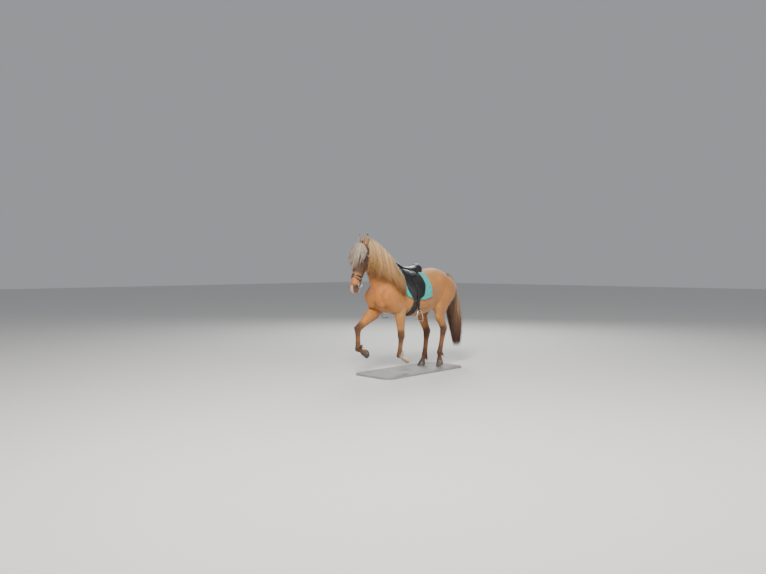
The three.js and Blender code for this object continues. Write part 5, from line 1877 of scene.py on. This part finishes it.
def make_stirrups():
    leather = leather_finish("stirrup_leather", colours().leather)
    steel = steel_finish("stirrup_steel")
    rubber = Shader("tread_rubber")
    grain = rubber.noise(300, 3)
    rubber.finish(Base_Color=rubber.mix(grain, (0.012, 0.012, 0.012), (0.035, 0.035, 0.035)), Roughness=0.8)
    for word, side in (("left", 1), ("right", -1)):
        bodies = []
        for off in (9.5, 13.2):
            line = leather_path(side, off)
            normals = np.tile((0, side, 0.0), (len(line), 1))
            normals[:, 2] = np.clip(np.gradient(line[:, 1]) * side * 0.1, 0, 1)
            bodies.append(strap(line, LEATHER_WIDE, normals, 3.0))
        end = leather_path(side, 11.3)[-1]
        loop = []
        for i in range(9):
            a = math.pi * i / 8
            loop.append((LEATHER_X, end[1] + side * 7 * math.cos(a), end[2] + 12 - 12 * math.sin(a) - 4))
        loop = np.array(loop)
        middle = np.array([LEATHER_X, end[1], end[2] + 8])
        bodies.append(strap(loop, LEATHER_WIDE - 1, loop - middle, 3.0))
        built("stirrup_strap_" + word, bodies, leather, ["stirrup_leather_" + word])
        line = leather_path(side, 13.2)
        holes = []
        for k in range(7):
            p = line[10 + 5 * k] + np.array([0, side * 1.7, 0])
            turns = np.linspace(0, 2 * math.pi, 13)[:-1]
            ring = [p + np.array([2.6 * math.cos(t), 0, 3.4 * math.sin(t)]) for t in turns]
            holes.append(tube(np.array(ring), 0.8, 6, True))
        built("strap_holes_" + word, holes, leather)
        edge = leather_path(side, 13.2)[2:-2]
        for name, shift in (("front", 13), ("back", -13)):
            line = edge + np.array([shift, side * 1.5, 0])
            normals = np.tile((0, side, 0.0), (len(line), 1))
            stitching(f"strap_stitches_{name}_{word}", line, normals, (0.13, 0.12, 0.11), 9)
        # the iron hangs flat beside the horse
        low, y = IRON_LOW, side * IRON_OUT
        arch = np.array([(LEATHER_X + u, y, low + v) for u, v in IRON])
        mirror = np.array([(LEATHER_X - u, y, low + v) for u, v in IRON[3:]])
        line = spans(arch[None, 3:], 40)[0]
        other = spans(mirror[None], 40)[0]
        thick = np.linspace(5.4, 6.6, 40)
        bodies = [tube(line, thick, 12), tube(other, thick, 12), tube(spans(arch[None, :4], 12)[0], 5.0, 12)]
        bar = [(LEATHER_X + u, y, low + 118 - 0.004 * u * u) for u in np.linspace(-38, 38, 12)]
        bodies.append(tube(np.array(bar), 4.4, 10))
        tread = []
        for v, half_x, half_y in ((3, 50, 22), (5, 57, 26), (10, 59, 27), (13, 57, 25.5), (14, 53, 23)):
            for i in range(48):
                a = 2 * math.pi * i / 48
                c, s = math.cos(a), math.sin(a)
                u, w = np.sign(c) * abs(c) ** 0.45, np.sign(s) * abs(s) ** 0.6
                tread.append((LEATHER_X + half_x * u, y + half_y * w, low + v))
        bodies.append((np.array(tread), grid_faces(5, 48)))
        built("stirrup_iron_" + word, bodies, steel, ["stirrup_" + word])
        bodies = []
        for k in range(9):
            x = LEATHER_X - 44 + 11 * k
            rib = [(x, y - 20, low + 15), (x, y, low + 15.6), (x, y + 20, low + 15)]
            bodies.append(strap(np.array(rib), 7.5, np.tile((0, 0, 1.0), (3, 1)), 5.0))
        base = np.array([(LEATHER_X + u, y, low + v) for u, v in ((-50, 13.4), (0, 13.8), (50, 13.4))])
        bodies.append(strap(base, 44, np.tile((0, 0, 1.0), (3, 1)), 3.0))
        built("stirrup_tread_" + word, bodies, rubber.material)


def around_head(middle, toward, spread, count=120):
    """A taut line round the head in the plane through middle and toward, over spread degrees each way."""
    m = in_head(middle[0], 0, middle[1])
    d = in_head(toward[0], 0, toward[1]) - m
    d /= np.linalg.norm(d)
    side = np.array([0, 1.0, 0])
    centre = lifted(m)
    flat = []
    for i in range(count + 1):
        a = math.radians(-spread + 2 * spread * i / count)
        way = d * math.cos(a) + side * math.sin(a)
        hit, _ = cast(centre, way, 0.4)
        r = 60.0 if hit is None else float(np.linalg.norm(hit - centre)) / MM
        flat.append((r * math.cos(a), r * math.sin(a)))
    flat = taut(np.array(flat), spread >= 180)
    normal = np.gradient(flat, axis=0)
    if spread >= 180:
        normal = np.roll(flat, -1, 0) - np.roll(flat, 1, 0)
    normal = unit(np.stack([normal[:, 1], -normal[:, 0]], axis=1))
    points = m + flat[:, :1] * d + flat[:, 1:] * side
    return points, normal[:, :1] * d + normal[:, 1:] * side


def taut(points, closed):
    """The convex line that a stretched strap takes over the points, evenly spaced."""

    def bends_in(a, b, c):
        return (b[0] - a[0]) * (c[1] - a[1]) - (b[1] - a[1]) * (c[0] - a[0]) <= 0

    def half(line):
        kept = []
        for p in line:
            while len(kept) > 1 and bends_in(kept[-2], kept[-1], p):
                kept.pop()
            kept.append(p)
        return kept

    order = points[np.lexsort((points[:, 1], points[:, 0]))]
    lower, upper = half(order), half(order[::-1])
    hull = np.array(lower[:-1] + upper[:-1])
    if not closed:
        first = np.argmin(np.linalg.norm(hull - points[0], axis=1))
        hull = np.roll(hull, -first, axis=0)
        last = np.argmin(np.linalg.norm(hull - points[-1], axis=1))
        hull = hull[: last + 1]
        if len(hull) < 3:
            return points
    else:
        hull = np.concatenate([hull, hull[:1]])
    run = np.concatenate([[0], np.cumsum(np.linalg.norm(np.diff(hull, axis=0), axis=1))])
    at = np.linspace(0, run[-1], 97)[: 96 if closed else 97]
    line = np.stack([np.interp(at, run, hull[:, i]) for i in range(2)], axis=1)
    for _ in range(3):
        if closed:
            line = (np.roll(line, 1, 0) + np.roll(line, -1, 0) + 2 * line) / 4
        else:
            line[1:-1] = (line[:-2] + line[2:] + 2 * line[1:-1]) / 4
    return line


def buckle(centre, up, across, out, wide, high, wire=1.5):
    """A small square frame with its tongue."""
    loop = []
    for i in range(24):
        a = 2 * math.pi * i / 24
        c, s = math.cos(a), math.sin(a)
        u = wide / 2 * np.sign(c) * abs(c) ** 0.35
        v = high / 2 * np.sign(s) * abs(s) ** 0.35
        loop.append(centre + across * u + up * v + out * 1.2)
    tongue = np.array([centre + up * high * u + out * v for u, v in ((-0.5, 1.4), (0, 2.4), (0.5, 2.2))])
    return [tube(np.array(loop), wire, 8, True), tube(tongue, wire * 0.7, 6)]


# headpiece, browband, throatlatch, noseband and flash strap: two places in the plane of each, the half-angle
# that it covers, its width and how far it stands off
BANDS = (
    ((62, -2), (-70, 96), 88, 21, 2.6),
    ((50, 2), (72, 130), 88, 19, 2.4),
    ((8, 0), (104, -240), 86, 14, 2.6),
    ((398, -6), (392, 130), 180, 23, 2.6),
    ((445, -8), (404, 130), 180, 14, 6.0),
)
KEEPER = ((-10, -1), (-10, 2.6), (0, 3.6), (10, 2.6), (10, -1))
BIT_ALONG, BIT_RADIUS = 500, 31


def make_bridle():
    leather = leather_finish("bridle_leather_brown", colours().strap, 0.4)
    steel = steel_finish("buckle_steel")
    thick = sizes().strap / MM
    bodies, metal, seams = [], [], []
    for middle, toward, spread, width, off in BANDS:
        points, normals = around_head(middle, toward, spread)
        line = points + normals * off
        bodies.append(strap(line, width, normals, thick, spread >= 180))
        for shift in (-0.5, 0.5):
            across = unit(np.cross(np.gradient(line, axis=0), normals))
            seams.append((line + across * (width - 5) * shift + normals * (thick / 2 + 0.1), normals))
    for side in (1, -1):
        line, normals = [], []
        for i in range(41):
            t = i / 40
            along, out = lerp(40, 478, t), lerp(6, -30, t) - 5 * math.sin(math.pi * t)
            place = in_head(along, 0, out)
            hit, _ = cast(lifted(place) + np.array([0, side * 0.3, 0]), (0, -side, 0), 0.3)
            y = abs(hit[1]) / MM if hit is not None else 60
            line.append((along, y, out))
        flat = np.array(line)
        hull = taut(np.concatenate([flat[:, :2], [(flat[-1, 0], 0), (flat[0, 0], 0)]]), True)
        ys = []
        for along in flat[:, 0]:
            near = hull[np.abs(hull[:, 0] - along) < 9]
            ys.append(near[:, 1].max() if len(near) else 60)
        ys = np.maximum(np.array(ys), flat[:, 1])
        ys = evened(ys, 3)
        ys = np.maximum(ys, flat[:, 1] - 0.5) + 6.5
        points = np.array([in_head(a, side * y, o) for (a, _, o), y in zip(flat, ys)])
        normals = np.tile((0, side, 0.0), (len(points), 1))
        bodies.append(strap(points, 17, normals, thick))
        lean = math.radians(FACE_LEAN)
        ahead = np.array([math.cos(lean), 0, math.sin(lean)])
        for shift in (-6.5, 6.5):
            seams.append((points + ahead * shift + normals * (thick / 2 + 0.1), normals))
        up = (points[3] - points[9]) / np.linalg.norm(points[3] - points[9])
        out = np.array([0, side, 0.0])
        across = np.cross(up, out)
        for k in (8, 34):
            metal += buckle(points[k] + out * 2.2, up, across, out, 24, 20)
        for k in (10, 12, 32):
            keeper = [points[k] + across * u + out * v for u, v in KEEPER]
            bodies.append(strap(np.array(keeper), 6, np.tile(out, (5, 1)) + 0.01, 1.6))
        # the end of the mouthpiece, from the corner of the lips to the bit's ring
        stub = [in_head(BIT_ALONG, side * left, out) for left, out in ((46, -32), (58, -30), (68, -26))]
        metal.append(tube(np.array(stub), (6.5, 7.5, 6), 12))
    built("bridle_straps", bodies, leather, ["bridle"])
    built("bridle_buckles", metal, steel)
    for number, (line, normals) in enumerate(seams):
        stitching(f"bridle_stitches_{number}", line, normals, (0.20, 0.15, 0.11), 5.5, 3.4, 0.8)
    for word, side in (("left", 1), ("right", -1)):
        ring = []
        for i in range(56):
            a = 2 * math.pi * i / 56
            along, out = BIT_ALONG + BIT_RADIUS * math.cos(a), -26 + BIT_RADIUS * math.sin(a)
            ring.append(in_head(along, side * 68, out))
        built("bit_" + word, [tube(np.array(ring), 4.0, 14, True)], steel, ["bit_ring_" + word])


# Base


def make_base():
    half_long, half_wide, high, corner_radius, bevel = 750.0, 310.0, 24.0, 90.0, 3.0
    edge = [(0, 1.5), (1.5, 0), (high - bevel, 0)]
    edge += [(high - bevel * 0.3, bevel * 0.3), (high, bevel), (high, 14)]
    x, y = half_long - corner_radius, half_wide - corner_radius
    rings = []
    for z, inset in edge:
        r = corner_radius - inset
        for corner, (sx, sy) in enumerate(((1, 1), (-1, 1), (-1, -1), (1, -1))):
            for i in range(13):
                a = math.pi / 2 * (corner + i / 12)
                rings.append((sx * x + r * math.cos(a), sy * y + r * math.sin(a), z))
    base = new_piece("base_board", np.array(rings) * MM, grid_faces(6, 52), False)
    outward(base)
    s = Shader("painted_board")
    broad, fine = s.noise(5, 4), s.noise(160, 4)
    tone = np.array(colours().board)
    s.finish(
        Base_Color=s.mix(s.ranged(broad, 0.35, 0.7), tone * 0.93, tone * 1.07),
        Roughness=s.ranged(fine, 0.3, 0.7, 0.5, 0.66),
        Normal=s.bump(fine, 0.12, 0.001),
    )
    dress(base, s.material, ["stand_base"])


# Stage


def make_stage():
    # the frame and the focal length in pixels, and the pixels of the horizon and of the origin
    focal, wide, high, horizon, middle = 680.0, 766.0, 574.0, 267.0, 410.7
    turn, distance, height = math.radians(46.0), 8.95, 1.35 + GROUND
    ahead = Vector((-math.sin(turn), -math.cos(turn), 0))
    right = Vector((-math.cos(turn), math.sin(turn), 0))
    lens = bpy.data.cameras.new("camera")
    camera = placed("camera", lens)
    aside = (middle - wide / 2) / focal * distance
    camera.location = -ahead * distance - right * aside + Vector((0, 0, height))
    drop = math.atan((high / 2 - horizon) / focal)
    aim = Vector((ahead.x * math.cos(drop), ahead.y * math.cos(drop), -math.sin(drop)))
    camera.rotation_euler = aim.to_track_quat("-Z", "Y").to_euler()
    lens.sensor_width = 36
    lens.lens = focal * 36 / wide
    lens.clip_end = 100
    bpy.context.scene.camera = camera
    world = bpy.data.worlds.new("studio")
    world.use_nodes = True
    world.node_tree.nodes["Background"].inputs[0].default_value = (0.92, 0.95, 1.0, 1)
    world.node_tree.nodes["Background"].inputs[1].default_value = 0.36
    bpy.context.scene.world = world
    for name, place, size, power in (
        ("key", (5.2, 3.6, 5.6), 2.0, 820),
        ("fill", (0.5, 7.0, 3.4), 4.0, 170),
        ("rim", (-5.0, -3.5, 5.0), 3.0, 330),
    ):
        lamp = bpy.data.lights.new(name, "AREA")
        lamp.energy = power
        lamp.size = size
        lamp.color = (1.0, 0.97, 0.92) if name == "key" else (1, 1, 1)
        held = placed(name, lamp)
        held.location = place
        held.rotation_euler = (Vector((0, 0, 0.9)) - Vector(place)).to_track_quat("-Z", "Y").to_euler()
    reach = 40.0
    corners = [(-reach, -reach, 0), (reach, -reach, 0), (reach, reach, 0), (-reach, reach, 0)]
    floor = new_piece("floor", corners, [(0, 1, 2, 3)], False)
    s = Shader("pale_floor")
    floor.data.materials.append(s.finish(Base_Color=(0.72, 0.71, 0.69), Roughness=0.85))


class OBJECT_OT_horse_stage(bpy.types.Operator):
    """Adds the camera, the lights and the pale floor"""

    bl_idname = "object.horse_stage"
    bl_label = "Stage"

    def execute(self, context):
        make_stage()
        return {"FINISHED"}


class OBJECT_OT_horse_skin(bpy.types.Operator):
    """Adds the horse's skin with its muscles, its coat marks, painted sunlight on its top and painted shade
    in its hollows
    """

    bl_idname = "object.horse_skin"
    bl_label = "Skin"

    def execute(self, context):
        make_skin()
        return {"FINISHED"}


class OBJECT_OT_horse_eyes(bpy.types.Operator):
    """Adds the eyeballs, their lids and lashes"""

    bl_idname = "object.horse_eyes"
    bl_label = "Eyes"

    def execute(self, context):
        make_eyes()
        return {"FINISHED"}


class OBJECT_OT_horse_ears(bpy.types.Operator):
    """Adds the two ears and the hair in them"""

    bl_idname = "object.horse_ears"
    bl_label = "Ears"

    def execute(self, context):
        make_ears()
        return {"FINISHED"}


class OBJECT_OT_horse_hooves(bpy.types.Operator):
    """Adds the four hooves"""

    bl_idname = "object.horse_hooves"
    bl_label = "Hooves"

    def execute(self, context):
        make_hooves()
        return {"FINISHED"}


class OBJECT_OT_horse_pad(bpy.types.Operator):
    """Lays the quilted pad over the back"""

    bl_idname = "object.horse_pad"
    bl_label = "Saddle pad"

    def execute(self, context):
        make_pad()
        return {"FINISHED"}


class OBJECT_OT_horse_saddle(bpy.types.Operator):
    """Builds the saddle's flaps, skirts, seat and rings"""

    bl_idname = "object.horse_saddle"
    bl_label = "Saddle"

    def execute(self, context):
        make_saddle()
        return {"FINISHED"}


class OBJECT_OT_horse_girth(bpy.types.Operator):
    """Runs the girth round the belly"""

    bl_idname = "object.horse_girth"
    bl_label = "Girth"

    def execute(self, context):
        make_girth()
        return {"FINISHED"}


class OBJECT_OT_horse_stirrups(bpy.types.Operator):
    """Hangs the stirrup leathers and irons"""

    bl_idname = "object.horse_stirrups"
    bl_label = "Stirrups"

    def execute(self, context):
        make_stirrups()
        return {"FINISHED"}


class OBJECT_OT_horse_bridle(bpy.types.Operator):
    """Fits the bridle's straps, buckles and bit rings"""

    bl_idname = "object.horse_bridle"
    bl_label = "Bridle and bit"

    def execute(self, context):
        make_bridle()
        return {"FINISHED"}


class OBJECT_OT_horse_mane(bpy.types.Operator):
    """Grows the locks of the mane on both sides"""

    bl_idname = "object.horse_mane"
    bl_label = "Mane"

    def execute(self, context):
        make_mane()
        return {"FINISHED"}


class OBJECT_OT_horse_forelock(bpy.types.Operator):
    """Grows the forelock down the face"""

    bl_idname = "object.horse_forelock"
    bl_label = "Forelock"

    def execute(self, context):
        make_forelock()
        return {"FINISHED"}


class OBJECT_OT_horse_tail(bpy.types.Operator):
    """Grows the tail round its dock"""

    bl_idname = "object.horse_tail"
    bl_label = "Tail"

    def execute(self, context):
        make_tail()
        return {"FINISHED"}


class OBJECT_OT_horse_feather(bpy.types.Operator):
    """Grows the long hair behind each fetlock"""

    bl_idname = "object.horse_feather"
    bl_label = "Feather"

    def execute(self, context):
        make_feather()
        return {"FINISHED"}


class OBJECT_OT_horse_tufts(bpy.types.Operator):
    """Adds short tufts that break the outline of the coat"""

    bl_idname = "object.horse_tufts"
    bl_label = "Coat tufts"

    def execute(self, context):
        make_coat_tufts()
        return {"FINISHED"}


class OBJECT_OT_horse_base(bpy.types.Operator):
    """Adds the flat base that the horse stands on"""

    bl_idname = "object.horse_base"
    bl_label = "Base"

    def execute(self, context):
        make_base()
        return {"FINISHED"}


class VIEW3D_PT_horse(bpy.types.Panel):
    """Lists the horse's pieces, sizes and colours"""

    bl_idname = "VIEW3D_PT_horse"
    bl_label = "Icelandic horse"
    bl_space_type = "VIEW_3D"
    bl_region_type = "UI"
    bl_category = "Horse"

    def draw(self, context):
        for kind in OPERATORS:
            self.layout.operator(kind.bl_idname)
        for group in (context.scene.horse_sizes, context.scene.horse_colours):
            for name in group.__annotations__:
                self.layout.prop(group, name)


OPERATORS = [
    OBJECT_OT_horse_stage,
    OBJECT_OT_horse_skin,
    OBJECT_OT_horse_eyes,
    OBJECT_OT_horse_ears,
    OBJECT_OT_horse_hooves,
    OBJECT_OT_horse_pad,
    OBJECT_OT_horse_saddle,
    OBJECT_OT_horse_girth,
    OBJECT_OT_horse_stirrups,
    OBJECT_OT_horse_bridle,
    OBJECT_OT_horse_mane,
    OBJECT_OT_horse_forelock,
    OBJECT_OT_horse_tail,
    OBJECT_OT_horse_feather,
    OBJECT_OT_horse_tufts,
    OBJECT_OT_horse_base,
]
CLASSES = [HorseSizes, HorseColours, *OPERATORS, VIEW3D_PT_horse]


def register():
    for kind in CLASSES:
        bpy.utils.register_class(kind)
    bpy.types.Scene.horse_sizes = PointerProperty(type=HorseSizes)
    bpy.types.Scene.horse_colours = PointerProperty(type=HorseColours)


def unregister():
    del bpy.types.Scene.horse_colours
    del bpy.types.Scene.horse_sizes
    for kind in reversed(CLASSES):
        bpy.utils.unregister_class(kind)


def main():
    register()
    for kind in OPERATORS:
        group, name = kind.bl_idname.split(".")
        getattr(getattr(bpy.ops, group), name)()


if __name__ == "__main__":
    main()
